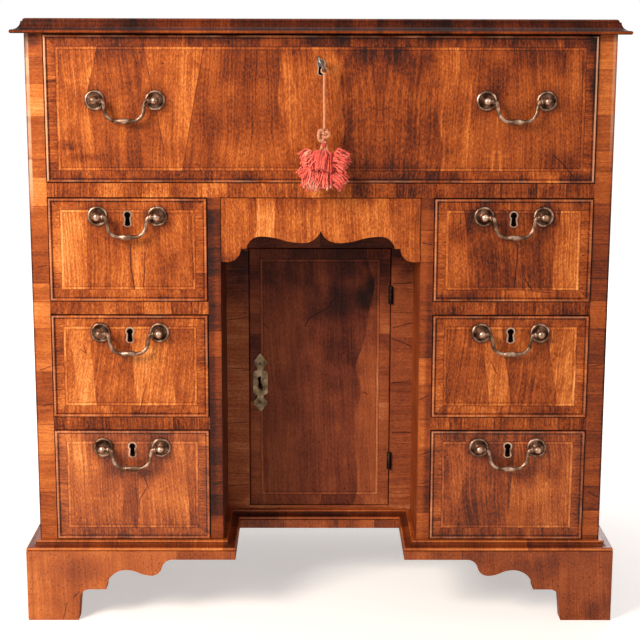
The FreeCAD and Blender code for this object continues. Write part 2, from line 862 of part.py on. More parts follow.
def handle_posts(x, z):
    """Two roses and two posts with nuts, for a handle centred on x at height z."""
    pieces = []
    half = post_spacing / 2
    for side in (-1, 1):
        post_x = x + side * half
        centre = Vector(post_x, front_y, z)

        def place(point):
            return centre + Vector(point[0], -point[1], 0)

        # Turned rose: flat back, raised rim, dished face and a low boss round the post
        bore = post_stem_radius + stem_fit
        boss = post_neck_radius + rose_rim
        rim_start = rose_radius - 2 * rose_rim
        dish = rose_thickness / 2
        section = lines([place((bore, 0)), place((rose_radius, 0)), place((rose_radius, dish / 2))])
        section.append(
            arc(
                place((rose_radius, dish / 2)),
                place((rose_radius - rose_rim, rose_thickness - dish / 2)),
                place((rim_start, dish)),
            )
        )
        section += lines(
            [
                place((rim_start, dish)),
                place((boss, dish)),
                place((boss - rose_rim / 2, rose_thickness)),
                place((bore, rose_thickness)),
                place((bore, 0)),
            ]
        )
        pieces.append(face_of(section).revolve(centre, ALONG_Y, 360).Solids[0])

        stem_start = Vector(post_x, front_y - rose_thickness, z)
        stem_length = rose_thickness + front_thickness + nut_thickness
        post = rod(stem_start, ALONG_Y, stem_length, post_stem_radius)
        neck_start = Vector(post_x, bail_axis_y, z)
        post = post.fuse(
            rod(neck_start, ALONG_Y, handle_axis_gap - rose_thickness, post_neck_radius)
        )
        post = post.fuse(Part.makeSphere(post_head_radius, Vector(post_x, bail_axis_y, z)))
        nut_start = Vector(post_x, front_back_y, z)
        post = post.fuse(rod(nut_start, ALONG_Y, nut_thickness, nut_radius))
        hole_start = Vector(post_x - side * (bail_pin_start - bail_fit), bail_axis_y, z)
        hole = rod(hole_start, ALONG_X * -side, 2 * post_head_radius, bail_radius + bail_fit)
        pieces.append(post.cut(hole).removeSplitter().Solids[0])
    return pieces


def spindle(centre, length, radius):
    """A swelling round the bail's wire, thickest in the middle, along X."""
    half = ALONG_X * length / 2
    inside = ALONG_Z * bail_radius / 2
    section = [arc(centre + half + inside, centre + ALONG_Z * radius, centre - half + inside)]
    section += lines([centre - half + inside, centre - half, centre + half, centre + half + inside])
    return face_of(section).revolve(centre, ALONG_X, 360)


def bail(x, z):
    """Swan-neck bail: pins in the posts, a collar beside each post, tight necks, arms that lean
    inwards, wide lower corners and a thicker middle."""
    pin_end = post_spacing / 2 - bail_pin_start
    neck_x = bail_shoulder / 2 + bail_neck_radius
    lean = math.radians(bail_lean)
    both_radii = bail_neck_radius + bail_corner_radius
    arm_fall = bail_drop - both_radii * (1 - math.sin(lean))
    bar_end = neck_x - both_radii * math.cos(lean) - arm_fall * math.tan(lean)

    def half_path(side):
        """Pin, neck, arm, corner and half of the lower bar on one side of the bail."""

        def place(point):
            return Vector(x + side * point[0], bail_axis_y, z + point[1])

        neck = quarter((neck_x, -bail_neck_radius), bail_neck_radius, 90, 180 - bail_lean, place)
        corner_centre = (bar_end, bail_corner_radius - bail_drop)
        corner = quarter(corner_centre, bail_corner_radius, -bail_lean, -90, place)
        return [
            line(place((pin_end, 0)), place((neck_x, 0))),
            neck,
            line(neck.Vertexes[-1].Point, corner.Vertexes[0].Point),
            corner,
            line(place((bar_end, -bail_drop)), place((0, -bail_drop))),
        ]

    path = Part.Wire(Part.__sortEdges__(half_path(1) + half_path(-1)))
    pin = Vector(x + pin_end, bail_axis_y, z)
    ring = Part.Wire(Part.makeCircle(bail_radius, pin, ALONG_X))
    wire = path.makePipeShell([ring], True, False)
    wire = wire.fuse(spindle(Vector(x, bail_axis_y, z - bail_drop), bail_knop_length, bail_knop_radius))
    collar_x = post_spacing / 2 - post_head_radius - bail_collar_gap - bail_collar_length / 2
    for side in (-1, 1):
        collar = Vector(x + side * collar_x, bail_axis_y, z)
        wire = wire.fuse(spindle(collar, bail_collar_length, bail_collar_radius))
    return wire.removeSplitter().Solids[0]


def front_box(x_range, z_range):
    """Limits of a drawer front in its opening, cockbead included."""
    x_limits = (x_range[0] + drawer_side_fit, x_range[1] - drawer_side_fit)
    z_limits = (z_range[0] + drawer_bottom_fit, z_range[1] - drawer_top_fit)
    return x_limits, z_limits


def make_drawer(name, x_range, z_range, handle_places, keyhole_place):
    """A drawer in the opening x_range by z_range, without its bails and its lock."""
    x_limits, z_limits = front_box(x_range, z_range)
    board = block(
        (x_limits[0] + bead_width, x_limits[1] - bead_width),
        (front_y, front_back_y),
        (z_limits[0] + bead_width, z_limits[1] - bead_width),
    )
    hole_y = (front_y, front_back_y)
    ring_y = (front_y - escutcheon_proud, front_y + escutcheon_depth)
    keyhole_x, keyhole_z = keyhole_place
    board = board.cut(keyhole(keyhole_x, keyhole_z, hole_y, escutcheon_rim + escutcheon_fit))
    ring = keyhole(keyhole_x, keyhole_z, ring_y, escutcheon_rim)
    ring = ring.cut(keyhole(keyhole_x, keyhole_z, ring_y, 0))
    fittings = [ring]
    for handle_x, handle_z in handle_places:
        fittings += handle_posts(handle_x, handle_z)
        for side in (-1, 1):
            stem = Vector(handle_x + side * post_spacing / 2, front_y, handle_z)
            board = board.cut(rod(stem, ALONG_Y, front_thickness, post_stem_radius + stem_fit))
    save(name + "_front", [board] + bead_frame(x_limits, z_limits))
    depth = lining_back_y - drawer_back_gap - front_back_y
    save(name + "_box", lining(x_limits, (z_range[0], z_limits[1]), depth))
    return fittings


def make_small_drawers():
    rows = {
        "upper": (upper_floor, upper_floor + upper_drawer_height),
        "middle": (middle_floor, middle_floor + middle_drawer_height),
        "lower": (bay_floor, bay_floor + lower_drawer_height),
    }
    banks = {"left": (-bay_outer, -bay_inner), "right": (bay_inner, bay_outer)}
    for bank, x_range in banks.items():
        middle_x = (x_range[0] + x_range[1]) / 2
        for row, z_range in rows.items():
            name = bank + "_" + row + "_drawer"
            handle = (middle_x, z_range[1] - handle_drop)
            keyhole_z = z_range[1] - keyhole_drop
            fittings = make_drawer(name, x_range, z_range, [handle], (middle_x, keyhole_z))
            lock_x = (middle_x - lock_width / 2, middle_x + lock_width / 2)
            lock_z = (keyhole_z - lock_below_keyhole, z_range[1] - bead_top_drop)
            fittings.append(block(lock_x, (front_back_y, front_back_y + lock_depth), lock_z))
            save(name + "_fittings", fittings)
            save(name + "_bail", [bail(handle[0], handle[1])])


def make_long_drawer():
    x_range = (-bay_outer, bay_outer)
    z_range = (long_floor, top_underside)
    handle_z = top_underside - long_handle_drop
    handles = [(-bay_middle, handle_z), (bay_middle, handle_z)]
    keyhole_place = (0, top_underside - long_keyhole_drop)
    fittings = make_drawer("long_drawer", x_range, z_range, handles, keyhole_place)
    save("long_drawer_fittings", fittings)
    save("long_drawer_left_bail", [bail(handles[0][0], handle_z)])
    save("long_drawer_right_bail", [bail(handles[1][0], handle_z)])

    # Lock: a case with a round chamber for the key's bit and a slot for the bolt above it
    bolt_top = top_underside - bolt_rest_gap
    bolt_bottom = key_z + bit_swing + bolt_clearance
    case = block(
        (-lock_width / 2, lock_width / 2),
        (front_back_y, front_back_y + long_lock_depth),
        (keyhole_place[1] - lock_below_keyhole, top_underside - bead_top_drop),
    )
    case = case.cut(rod(Vector(0, chamber_front_y, key_z), ALONG_Y, key_chamber_depth, bit_swing))
    case = case.cut(keyhole(0, keyhole_place[1], (front_back_y, chamber_front_y), 0))
    seat_start = Vector(0, chamber_back_y, key_z)
    case = case.cut(rod(seat_start, ALONG_Y, key_seat_depth, key_shank_radius + key_seat_fit))
    slot_half = bolt_width / 2 + bolt_clearance
    slot_y = (chamber_front_y - bolt_clearance, chamber_back_y + bolt_clearance)
    slot_z = (bolt_bottom - bolt_clearance, top_underside)
    case = case.cut(block((-slot_half, slot_half), slot_y, slot_z))
    save("long_drawer_lock", [case])
    bolt_y = (chamber_front_y, chamber_back_y)
    save("lock_bolt", [block((-bolt_width / 2, bolt_width / 2), bolt_y, (bolt_bottom, bolt_top))])


def make_key():
    """Ring bow, collar, shank and bit, with the bow and bit leaning by the key's tilt."""
    tilt = math.radians(key_tilt)
    lean = Vector(-math.sin(tilt), 0, math.cos(tilt))
    bow_centre = Vector(0, front_y - key_bow_reach, key_z)
    key = Part.makeTorus(key_bow_radius, key_bow_wire, bow_centre, ALONG_Y.cross(lean))
    shank_start = bow_centre + ALONG_Y * key_bow_radius
    shank_end = chamber_back_y + key_seat_depth - key_seat_fit
    key = key.fuse(rod(shank_start, ALONG_Y, shank_end - shank_start.y, key_shank_radius))
    collar_start = shank_start + ALONG_Y * key_collar_gap
    key = key.fuse(rod(collar_start, ALONG_Y, key_collar_length, key_collar_radius))
    bit_depth = key_chamber_depth - 2 * key_bit_clearance
    bit = block(
        (-key_bit_thickness / 2, key_bit_thickness / 2),
        (0, bit_depth),
        (-key_shank_radius - key_bit_length, 0),
    )
    bit.rotate(ORIGIN, ALONG_Y, -key_tilt)
    bit.translate(Vector(0, chamber_front_y + key_bit_clearance, key_z))
    save("key", [key.fuse(bit).removeSplitter().Solids[0]])

    # The cord hangs from the lowest point of the bow and carries the tassel.
    hang = bow_centre - lean * key_bow_radius
    cord_top = hang - ALONG_Z * (key_bow_wire + cord_hang_gap)
    cord_end = cord_top - ALONG_Z * cord_length
    save("tassel_cord", [rod(cord_end, ALONG_Z, cord_length, cord_radius)])

    def place(point):
        return cord_end + Vector(point[0], 0, -point[1])

    # Round knot and narrow neck
    knot = 2 * tassel_knot_radius
    neck = knot + tassel_neck_length
    section = [
        arc(place((0, 0)), place((tassel_knot_radius, tassel_knot_radius)), place((tassel_neck_radius, knot)))
    ]
    section += lines(
        [
            place((tassel_neck_radius, knot)),
            place((tassel_neck_radius, neck)),
            place((0, neck)),
            place((0, 0)),
        ]
    )
    tassel = face_of(section).revolve(cord_end, ALONG_Z, 360).Solids[0]

    # Two tiers of small tufts fan out from the end of the neck.
    root = place((0, neck - tassel_neck_radius))
    tiers = (
        (lower_tuft_count, lower_tuft_fan, lower_tuft_length, 0),
        (upper_tuft_count, upper_tuft_fan, upper_tuft_length, upper_tuft_forward),
    )
    for count, fan, length, forward in tiers:
        for index in range(count):
            angle = math.radians(fan * (index / (count - 1) - 0.5))
            reach = Vector(math.sin(angle), 0, -math.cos(angle))
            tilt_forward = Vector(0, -math.sin(math.radians(forward)), 0)
            tassel = tassel.fuse(tuft(root, reach + tilt_forward, length))
    save("tassel", [tassel.removeSplitter().Solids[0]])


def tuft(root, direction, length):
    """A small bell of yarn with a rounded end."""
    bell = Part.makeCone(tuft_top_radius, tuft_end_radius, length, root, direction)
    rim = max(bell.Edges, key=lambda edge: (edge.CenterOfMass - root).Length)
    return bell.makeFillet(tuft_end_round, [rim])


# Apron drawer


def apron_edges(place):
    """Right half of the shaped lower edge, from the cusp to the side, and back along the top."""
    side = half_kneehole - apron_fit
    round_end_x = side - apron_corner_flat
    step_end = round_end_x - apron_corner_width
    step_start = step_end - apron_step_width
    arch = step_start - apron_hollow_width
    top = apron_height - drawer_top_fit
    lobe = (apron_lobe_offset, apron_lobe_rise)
    edges = [tangent_arc(lobe, (0, apron_cusp_rise), place)]
    edges += ogee(lobe, (arch, apron_arch_rise), place)
    hollow_end = (step_start, apron_step_rise)
    edges.append(tangent_arc((arch, apron_arch_rise), hollow_end, place))
    edges += lines([place(hollow_end), place((step_end, apron_step_rise))])
    half_turn = math.radians(45)
    bulge_x = round_end_x - apron_corner_width * math.cos(half_turn)
    bulge_z = apron_step_rise * (1 - math.sin(half_turn))
    edges.append(
        arc(place((step_end, apron_step_rise)), place((bulge_x, bulge_z)), place((round_end_x, 0)))
    )
    edges += lines([place((round_end_x, 0)), place((side, 0)), place((side, top)), place((0, top))])
    return edges


def make_apron():
    def right_place(point):
        return Vector(point[0], front_y, apron_bottom + point[1])

    def left_place(point):
        return Vector(-point[0], front_y, apron_bottom + point[1])

    edges = apron_edges(right_place) + apron_edges(left_place)
    front = face_of(edges).extrude(ALONG_Y * front_thickness)
    save("apron_drawer_front", [front])
    x_range = (-half_kneehole + apron_fit, half_kneehole - apron_fit)
    z_range = (apron_floor, long_rail_bottom - drawer_top_fit)
    save("apron_drawer_box", lining(x_range, z_range, apron_box_depth))


os.makedirs("parts", exist_ok=True)
make_carcass()
make_base()
make_cupboard()
make_small_drawers()
make_long_drawer()
make_key()
make_apron()
print("overall height", desk_height, "carcass width", 2 * half_carcass)
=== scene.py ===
# %% [markdown]
# # A walnut kneehole desk
# The desk arrives as a frame: every board, drawer, handle and hinge is already in its place, in
# metres, with its front facing -Y. This lesson gives it what a frame can't hold: veneer, old
# brass, a yarn tassel, light and a camera. Nothing of the frame is moved or reshaped.

# %% Load the desk
import math
import random
from functools import partial

import bpy
from mathutils import Matrix, Vector


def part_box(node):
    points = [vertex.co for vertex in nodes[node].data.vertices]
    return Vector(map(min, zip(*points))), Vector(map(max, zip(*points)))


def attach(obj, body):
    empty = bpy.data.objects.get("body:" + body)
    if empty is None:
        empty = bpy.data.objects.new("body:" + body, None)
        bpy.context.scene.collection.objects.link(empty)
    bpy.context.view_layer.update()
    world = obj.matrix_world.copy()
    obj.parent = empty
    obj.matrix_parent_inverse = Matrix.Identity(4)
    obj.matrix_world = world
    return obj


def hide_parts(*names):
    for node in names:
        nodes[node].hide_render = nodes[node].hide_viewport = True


MM = 0.001

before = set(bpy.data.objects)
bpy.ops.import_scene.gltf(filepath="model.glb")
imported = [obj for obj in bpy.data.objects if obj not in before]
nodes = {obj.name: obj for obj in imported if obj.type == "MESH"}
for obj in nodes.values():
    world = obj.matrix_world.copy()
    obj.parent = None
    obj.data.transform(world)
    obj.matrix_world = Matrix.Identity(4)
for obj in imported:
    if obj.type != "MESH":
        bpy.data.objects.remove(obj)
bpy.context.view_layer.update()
bpy.ops.object.select_all(action="DESELECT")

# %% [markdown]
# ## Camera
# The photographer stood square in front, at the height of the desk's top, and tipped the camera
# down a little, so the uprights lean together towards the floor. A long lens keeps that gentle.

# %% Camera
CAMERA_PLACE = Vector((-0.0135, -2.3177, 0.8475))
CAMERA_DOWN = math.radians(11.06)
CAMERA_TURN = math.radians(-0.35)
CAMERA_ROLL = math.radians(0.15)

bpy.ops.object.camera_add(location=CAMERA_PLACE)
camera = bpy.context.object
camera.data.sensor_width = 36
camera.data.lens = 86.6
aim = Matrix.Rotation(CAMERA_TURN, 3, "Z") @ Matrix.Rotation(math.pi / 2 - CAMERA_DOWN, 3, "X")
camera.rotation_euler = (aim @ Matrix.Rotation(CAMERA_ROLL, 3, "Z")).to_euler()
bpy.context.scene.camera = camera
bpy.context.scene.view_settings.view_transform = "Standard"
print("camera", camera.data.lens, "mm at", list(camera.location))

# %% [markdown]
# ## Shader helpers
# Colours are written as sRGB hex, the way a paint program shows them, and turned to the linear
# values that a shader works in. One function adds a node: it fills the node's open sockets in
# order with links or values, and sets its properties by name. A new material hands out that
# function tied to its own tree of nodes, and the coordinates of the object that wears it.


# %% Shader helpers
def linear(colour):
    """A hex colour as the linear values of a shader."""
    parts = [int(colour[start:start + 2], 16) / 255 for start in (1, 3, 5)]
    return [part / 12.92 if part <= 0.04045 else ((part + 0.055) / 1.055) ** 2.4 for part in parts] + [1]


def fill(node, values):
    """Fill sockets of a node, each found by name or number, with links, hex colours or numbers."""
    for name, value in values.items():
        if isinstance(value, bpy.types.Node):
            value = next(output for output in value.outputs if output.enabled)
        if isinstance(value, bpy.types.NodeSocket):
            node.id_data.links.new(value, node.inputs[name])
        else:
            node.inputs[name].default_value = linear(value) if isinstance(value, str) else value


def add_node(tree, kind, *inputs, sockets=None, stops=(), **settings):
    """Add a shader node. Inputs fill its open sockets in order, and sockets fills them by name.
    The stops of a colour ramp hold hex colours or plain grey values."""
    node = tree.nodes.new("ShaderNode" + kind)
    for name, value in settings.items():
        setattr(node, name, value)
    open_places = [place for place, socket in enumerate(node.inputs) if socket.enabled]
    fill(node, dict(zip(open_places, inputs)))
    fill(node, sockets or {})
    for index, (place, colour) in enumerate(stops):
        ramp = node.color_ramp.elements
        stop = ramp[index] if index < 2 else ramp.new(place)
        stop.position = place
        stop.color = linear(colour) if isinstance(colour, str) else (colour, colour, colour, 1)
    return node


def new_material(name):
    """A new material, its function that adds nodes, its shader and its object coordinates."""
    material = bpy.data.materials.new(name)
    material.use_nodes = True
    add = partial(add_node, material.node_tree)
    shader = material.node_tree.nodes["Principled BSDF"]
    return material, add, shader, add("TexCoord").outputs["Object"]


def paint(material, *names):
    """Give frame nodes a material."""
    for name in names:
        nodes[name].data.materials.clear()
        nodes[name].data.materials.append(material)
    print(material.name, "on", ", ".join(names))


# %% [markdown]
# ## Floor, world and lamps
# A pale floor and a white surround, as in a catalogue. The lamps are large and soft. The main one
# stands to the left and a little high, because the left bank of drawers is clearly brighter than
# the right one and the handles throw their shadows down and to the right.

# %% Floor, world and lamps
FLOOR_SIZE = 30
NEAR_GLOW, FAR_GLOW = 0.46, 0.85
NEAR_FLOOR, FAR_FLOOR = 0.55, 1.9
ROOM_LIGHT = 0.17

bpy.ops.mesh.primitive_plane_add(size=FLOOR_SIZE)
floor = bpy.context.object
floor.name = "floor"
floor_paint, add, shader, position = new_material("pale_floor")
rays = add("LightPath")
reach = add("VectorMath", position, operation="LENGTH")
glow = add("MapRange", reach, NEAR_FLOOR, FAR_FLOOR, NEAR_GLOW, FAR_GLOW)
glow = add("Math", rays.outputs["Is Camera Ray"], glow, operation="MULTIPLY")
fill(shader, {"Base Color": "#F3F1EE", "Roughness": 0.9})
fill(shader, {"Emission Color": "#FFFFFF", "Emission Strength": glow})
floor.data.materials.append(floor_paint)

world = bpy.data.worlds.new("studio")
bpy.context.scene.world = world
world.use_nodes = True
add = partial(add_node, world.node_tree)
rays = add("LightPath")
seen = add("Math", rays.outputs["Is Camera Ray"], rays.outputs["Is Glossy Ray"], operation="MAXIMUM")
seen = add("Math", seen, rays.outputs["Is Transmission Ray"], operation="MAXIMUM")
room = add("Background", "#FFF6EC", ROOM_LIGHT)
white = add("Background", "#FFFFFF", 1.0)
fill(world.node_tree.nodes["World Output"], {"Surface": add("MixShader", seen, room, white)})


def soft_lamp(name, place, target, size, power, colour):
    """A large square lamp that faces a point."""
    bpy.ops.object.light_add(type="AREA", location=place)
    lamp = bpy.context.object
    lamp.name = name
    lamp.data.size = size
    lamp.data.energy = power
    lamp.data.color = linear(colour)[:3]
    lamp.rotation_euler = (Vector(target) - lamp.location).to_track_quat("-Z", "Y").to_euler()
    print(name, power, "watts")


soft_lamp("main_lamp", (-1.45, -1.65, 1.55), (-0.15, -0.2, 0.45), size=0.9, power=62, colour="#FFF4E6")
soft_lamp("fill_lamp", (1.7, -2.2, 1.1), (0.1, -0.2, 0.4), size=1.6, power=8, colour="#FFF1E4")
soft_lamp("top_lamp", (0.2, 0.5, 2.6), (0, 0, 0.8), size=1.6, power=20, colour="#FFFFFF")
soft_lamp("back_lamp", (1.2, 2.4, 1.6), (0, 0.2, 0.45), size=1.6, power=26, colour="#FFFFFF")

# %% [markdown]
# ## Cord and tassel
# A short cord hangs from the key's bow and ends in a tassel, so that the key isn't lost. Such a
# cord is a few plies of wool twisted together, tied in a bow-shaped knot at the tassel. A plain
# tube would look like plastic. So the cord's line is one smooth NURBS curve, and each ply winds
# round the points that Blender works out along it. Loops of the same cord make the knot.

# %% Lines of yarn
CORD_PLIES = 3
PLY_WIDTH = 2.2 * MM
PLY_SPREAD = 1.1 * MM
CORD_TWIST = 9 * MM


def yarn_curve(name, lines, widths=(1.0,)):
    """A curve object with one smooth NURBS strand for each line of control points."""
    data = bpy.data.curves.new(name, "CURVE")
    data.dimensions = "3D"
    for line in lines:
        spline = data.splines.new("NURBS")
        spline.points.add(len(line) - 1)
        for index, place in enumerate(line):
            spline.points[index].co = (*place, 1)
            spline.points[index].radius = widths[min(index, len(widths) - 1)]
        spline.order_u = 3
        spline.use_endpoint_u = True
    strands = bpy.data.objects.new(name, data)
    bpy.context.collection.objects.link(strands)
    return strands


def smooth_route(points):
    """The points that a smooth line with these control points runs through."""
    line = yarn_curve("route", [points])
    line.data.resolution_u = 20
    mesh = bpy.data.meshes.new_from_object(line)
    route = [vertex.co.copy() for vertex in mesh.vertices]
    bpy.data.meshes.remove(mesh)
    bpy.data.objects.remove(line)
    return route


def plies(route):
    """The lines of the plies that wind round a route. The frame is carried along without twist."""
    lines = [[] for _ in range(CORD_PLIES)]
    side = (route[1] - route[0]).orthogonal()
    walked = 0.0
    for index, place in enumerate(route):
        before = route[max(index - 1, 0)]
        after = route[min(index + 1, len(route) - 1)]
        forward = (after - before).normalized()
        side = (side - forward * side.dot(forward)).normalized()
        walked += (place - before).length
        for number, line in enumerate(lines):
            turn = Matrix.Rotation(math.tau * (walked / CORD_TWIST + number / CORD_PLIES), 3, forward)
            line.append(place + turn @ side * PLY_SPREAD)
    return lines


def yarn_piece(name, lines, width, steps, widths=(1.0,)):
    """A mesh of round strands along the lines, closed at both ends."""
    strands = yarn_curve(name, lines, widths)
    strands.data.bevel_depth = width / 2
    strands.data.bevel_resolution = 1
    strands.data.resolution_u = steps
    strands.data.use_fill_caps = True
    bpy.ops.object.select_all(action="DESELECT")
    strands.select_set(True)
    bpy.context.view_layer.objects.active = strands
    bpy.ops.object.convert(target="MESH")
    bpy.ops.object.mode_set(mode="EDIT")
    bpy.ops.mesh.select_all(action="SELECT")
    bpy.ops.mesh.remove_doubles(threshold=0.001 * MM)
    bpy.ops.mesh.normals_make_consistent(inside=False)
    bpy.ops.object.mode_set(mode="OBJECT")
    bpy.ops.object.shade_smooth()
    piece = bpy.context.object
    print(piece.name, len(lines), "strands,", len(piece.data.polygons), "faces")
    return piece


cord_low, cord_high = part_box("tassel_cord")
axis = (cord_low + cord_high) / 2
cord_top = Vector((axis.x, axis.y, cord_high.z))
cord_end = Vector((axis.x, axis.y, cord_low.z))


def below(x, y, drop):
    """A point in millimetres to the right of the cord's end, behind it and below it."""
    return cord_end + Vector((x, y, -drop)) * MM


def coil(radius, forward, drop, pitch, steps):
    """A line that winds down round the cord in millimetres, with ten points to the turn."""
    turns = [step * math.tau / 10 for step in range(steps + 1)]
    places = [(radius * math.cos(turn), radius * math.sin(turn) - forward) for turn in turns]
    return [below(*place, drop + pitch * turn / math.tau) for place, turn in zip(places, turns)]


cord_route = smooth_route([cord_top, below(-0.6, 0, -50), below(0.6, -0.3, -22), cord_end])
cord = yarn_piece("tassel_cord_yarn", plies(cord_route), PLY_WIDTH, 1)

left_loop = [below(0, -1, 5), below(-4, -3, -1), below(-8, -4, 4)]
left_loop += [below(-7.5, -4, 14), below(-2, -3, 16), below(0, -1, 11)]
right_loop = [below(0, -1, 6), below(3, -3, 2), below(7, -4, 4)]
right_loop += [below(6.5, -4, 9), below(2, -3, 11), below(0, -1, 9)]
wraps = coil(radius=3.2, forward=0, drop=1, pitch=5.2, steps=25)
KEY_LOOP_RADIUS = 4.6 * MM
bow_wire = cord_top + KEY_LOOP_RADIUS / 2 * Vector((0, 0, 1))
key_loop = [
    bow_wire + Vector((math.sin(turn), 0, -math.cos(turn))) * KEY_LOOP_RADIUS
    for turn in [step * math.tau / 8 for step in range(9)]
]
knot_lines = [key_loop]
for line in (left_loop, right_loop, wraps):
    knot_lines += plies(smooth_route(line))

# %% [markdown]
# ## Tufts
# The tassel itself is seven small mops of thick wool in two tiers. Each hangs from the knot by a
# few pale threads, is tied at its root, swells at once to its full width and ends in a ragged cut.
# Every strand is a curve of a few points that wanders and curls, as crimped wool does. The
# random numbers are seeded, so the tassel is the same every time.

# %% Tufts
KNOT_PLY_WIDTH = 2.6 * MM
YARN_WIDTH = 2.1 * MM
THREAD_WIDTH = 1.0 * MM
STRANDS = 84
STALKS = 4
ROOT_SPREAD = 2.6 * MM
STRAND_STEPS = 8
STRAND_WANDER = 0.9 * MM
STRAND_CURL = 1.6 * MM
STRAND_SAG = 3.0 * MM
RAGGED_CUT = (0.84, 1.04)
ROOT_SWELL, SWELL_RATE = 0.45, 2.4
TUFTS = (
    # place of the root, the way the tuft points, its length and its half width
    ((-17, 1, 53), (-0.80, -0.30, -0.50), 16, 11),
    ((-12, -3, 54), (-0.36, -0.30, -1.0), 24, 12),
    ((0, -1, 54), (0.02, -0.14, -1.0), 22, 11),
    ((9, -1, 57), (0.84, -0.15, -0.56), 22, 11.5),
    ((-14, -2, 36), (-0.85, -0.36, -0.34), 15, 13.5),
    ((-3, -4, 27), (-0.03, -0.26, -1.0), 26, 15),
    ((11, -3, 36), (0.86, -0.20, -0.34), 22, 14),
)

chance = random.Random(7)
strands = []
for root, direction, length, half_width in TUFTS:
    root = below(*root)
    aim = Vector(direction).normalized()
    side = aim.orthogonal().normalized()
    for _ in range(STALKS):
        start = below(chance.uniform(-2, 2), chance.uniform(-3, 0), 15)
        knot_lines.append([start, start + Vector((0, 0, -5 * MM)), root - aim * 4 * MM, root])
    for _ in range(STRANDS):
        spoke = Matrix.Rotation(chance.uniform(0, math.tau), 3, aim) @ side * math.sqrt(chance.random())
        reach = aim * length * MM * chance.uniform(*RAGGED_CUT)
        strand = [root + spoke * ROOT_SPREAD]
        drift = Vector()
        for step in range(1, STRAND_STEPS + 1):
            share = step / STRAND_STEPS
            swell = min(1.0, ROOT_SWELL + SWELL_RATE * share)
            drift += Vector([chance.gauss(0, 0.5) for _ in "xyz"]) * STRAND_WANDER
            curl = Vector([chance.gauss(0, 0.5) for _ in "xyz"]) * STRAND_CURL
            fall = Vector((0, 0, -STRAND_SAG)) * share * share
            strand.append(root + reach * share + spoke * half_width * MM * swell + drift + curl + fall)
        strands.append(strand)
knot = yarn_piece("tassel_knot", knot_lines, KNOT_PLY_WIDTH, 1)
tufts = yarn_piece("tassel_tufts", strands, YARN_WIDTH, 2, widths=(0.6, 0.8, 1.0))
binding_lines = [coil(radius=3.9, forward=1, drop=drop, pitch=0.9, steps=30) for drop in (17.4, 19.6)]
binding = yarn_piece("tassel_binding", binding_lines, THREAD_WIDTH, 2)

# %% [markdown]
# ## Wool
# Dyed wool is soft and dull, with a bloom where its fibres stand out against the light, which
# Sheen gives. No two strands took the dye alike, so each island of the mesh gets its own tone.
# The strands are pale at their cut ends and where the colour has faded. Ridges wind along each
# strand, drawn from its own UV map. Real ridges of such wool are about 1 mm apart. Here they are 2
# to 3 mm apart, or they would not show.

# %% Wool
CORAL = ((0.0, "#9A1C17"), (0.3, "#DE4438"), (0.6, "#FF7060"), (1.0, "#FFC3A2"))
PEACH = ((0.0, "#A85636"), (0.5, "#EA976A"), (1.0, "#FFCBA6"))
FUZZ_SIZE = 1.2 * MM
PALE_PATCHES = (
    (below(-17, -14, 78), 15 * MM),
    (below(-27, -14, 27), 11 * MM),
    (below(8, -16, 80), 14 * MM),
)


def dyed_wool(name, colours, twists, middle, tip=0.0, patches=()):
    """Wool whose tone differs from strand to strand, and is paler at the tips and in faded patches."""
    material, add, shader, position = new_material(name)
    around, along, _ = add("SeparateXYZ", add("TexCoord").outputs["UV"]).outputs
    strand = add("NewGeometry").outputs["Random Per Island"]
    turns = add("Math", along, twists, around, operation="MULTIPLY_ADD")
    ridge = add("Math", add("Math", turns, math.tau, operation="MULTIPLY"), operation="SINE")
    tone = add("MapRange", strand, 0, 1, middle - 0.15, middle + 0.15)
    tone = add("Math", ridge, 0.07, tone, operation="MULTIPLY_ADD")
    fuzz = add("TexNoise", position, 1 / FUZZ_SIZE, 2)
    tone = add("Math", add("MapRange", fuzz, 0.3, 0.7, -0.08, 0.08), tone)
    tone = add("Math", tone, add("MapRange", along, 0.86, 0.99, 0, tip))
    for place, reach in patches:
        gap = add("VectorMath", position, place, operation="DISTANCE")
        tone = add("Math", tone, add("MapRange", gap, 0.3 * reach, reach, 0.30, 0))
    colour = add("ValToRGB", tone, stops=colours)
    height = add("Math", fuzz, ridge)
    relief = add("Bump", sockets={"Height": height, "Strength": 0.5, "Distance": 0.3 * MM})
    fill(shader, {"Base Color": colour, "Normal": relief, "Roughness": 0.9})
    fill(shader, {"Specular IOR Level": 0.2, "Sheen Weight": 0.25})
    return material


tuft_wool = dyed_wool("coral_wool", CORAL, twists=7, middle=0.55, tip=0.22, patches=PALE_PATCHES)
red_thread = dyed_wool("red_thread", CORAL, twists=40, middle=0.22)
cord_wool = dyed_wool("peach_wool", PEACH, twists=30, middle=0.56)
for piece, wool in ((tufts, tuft_wool), (binding, red_thread), (cord, cord_wool), (knot, cord_wool)):
    piece.data.materials.append(wool)

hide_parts("tassel_cord")
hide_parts("tassel")
for slot, pieces in (("cord_yarn", (cord, knot)), ("tassel_yarn", (tufts, binding))):
    for piece in pieces:
        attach(piece, "tassel")
print("tassel hangs from", [round(part / MM) for part in cord_top], "mm")

# %% [markdown]
# ## Walnut
# Old walnut veneer is a warm brown sheet, sawn thin, then glued down, scraped and waxed. The eye
# reads broad figure where the tree's rings were cut at a slant, fine streaks along the grain,
# short flecks, soft clouds and dark pores. All are noise stretched along the grain. Real pores are
# 0.2 mm wide. Here they are drawn about 1 mm wide, or they would vanish in the picture. One number,
# the tone, carries it all: 0 is nearly black, 1 is pale honey.

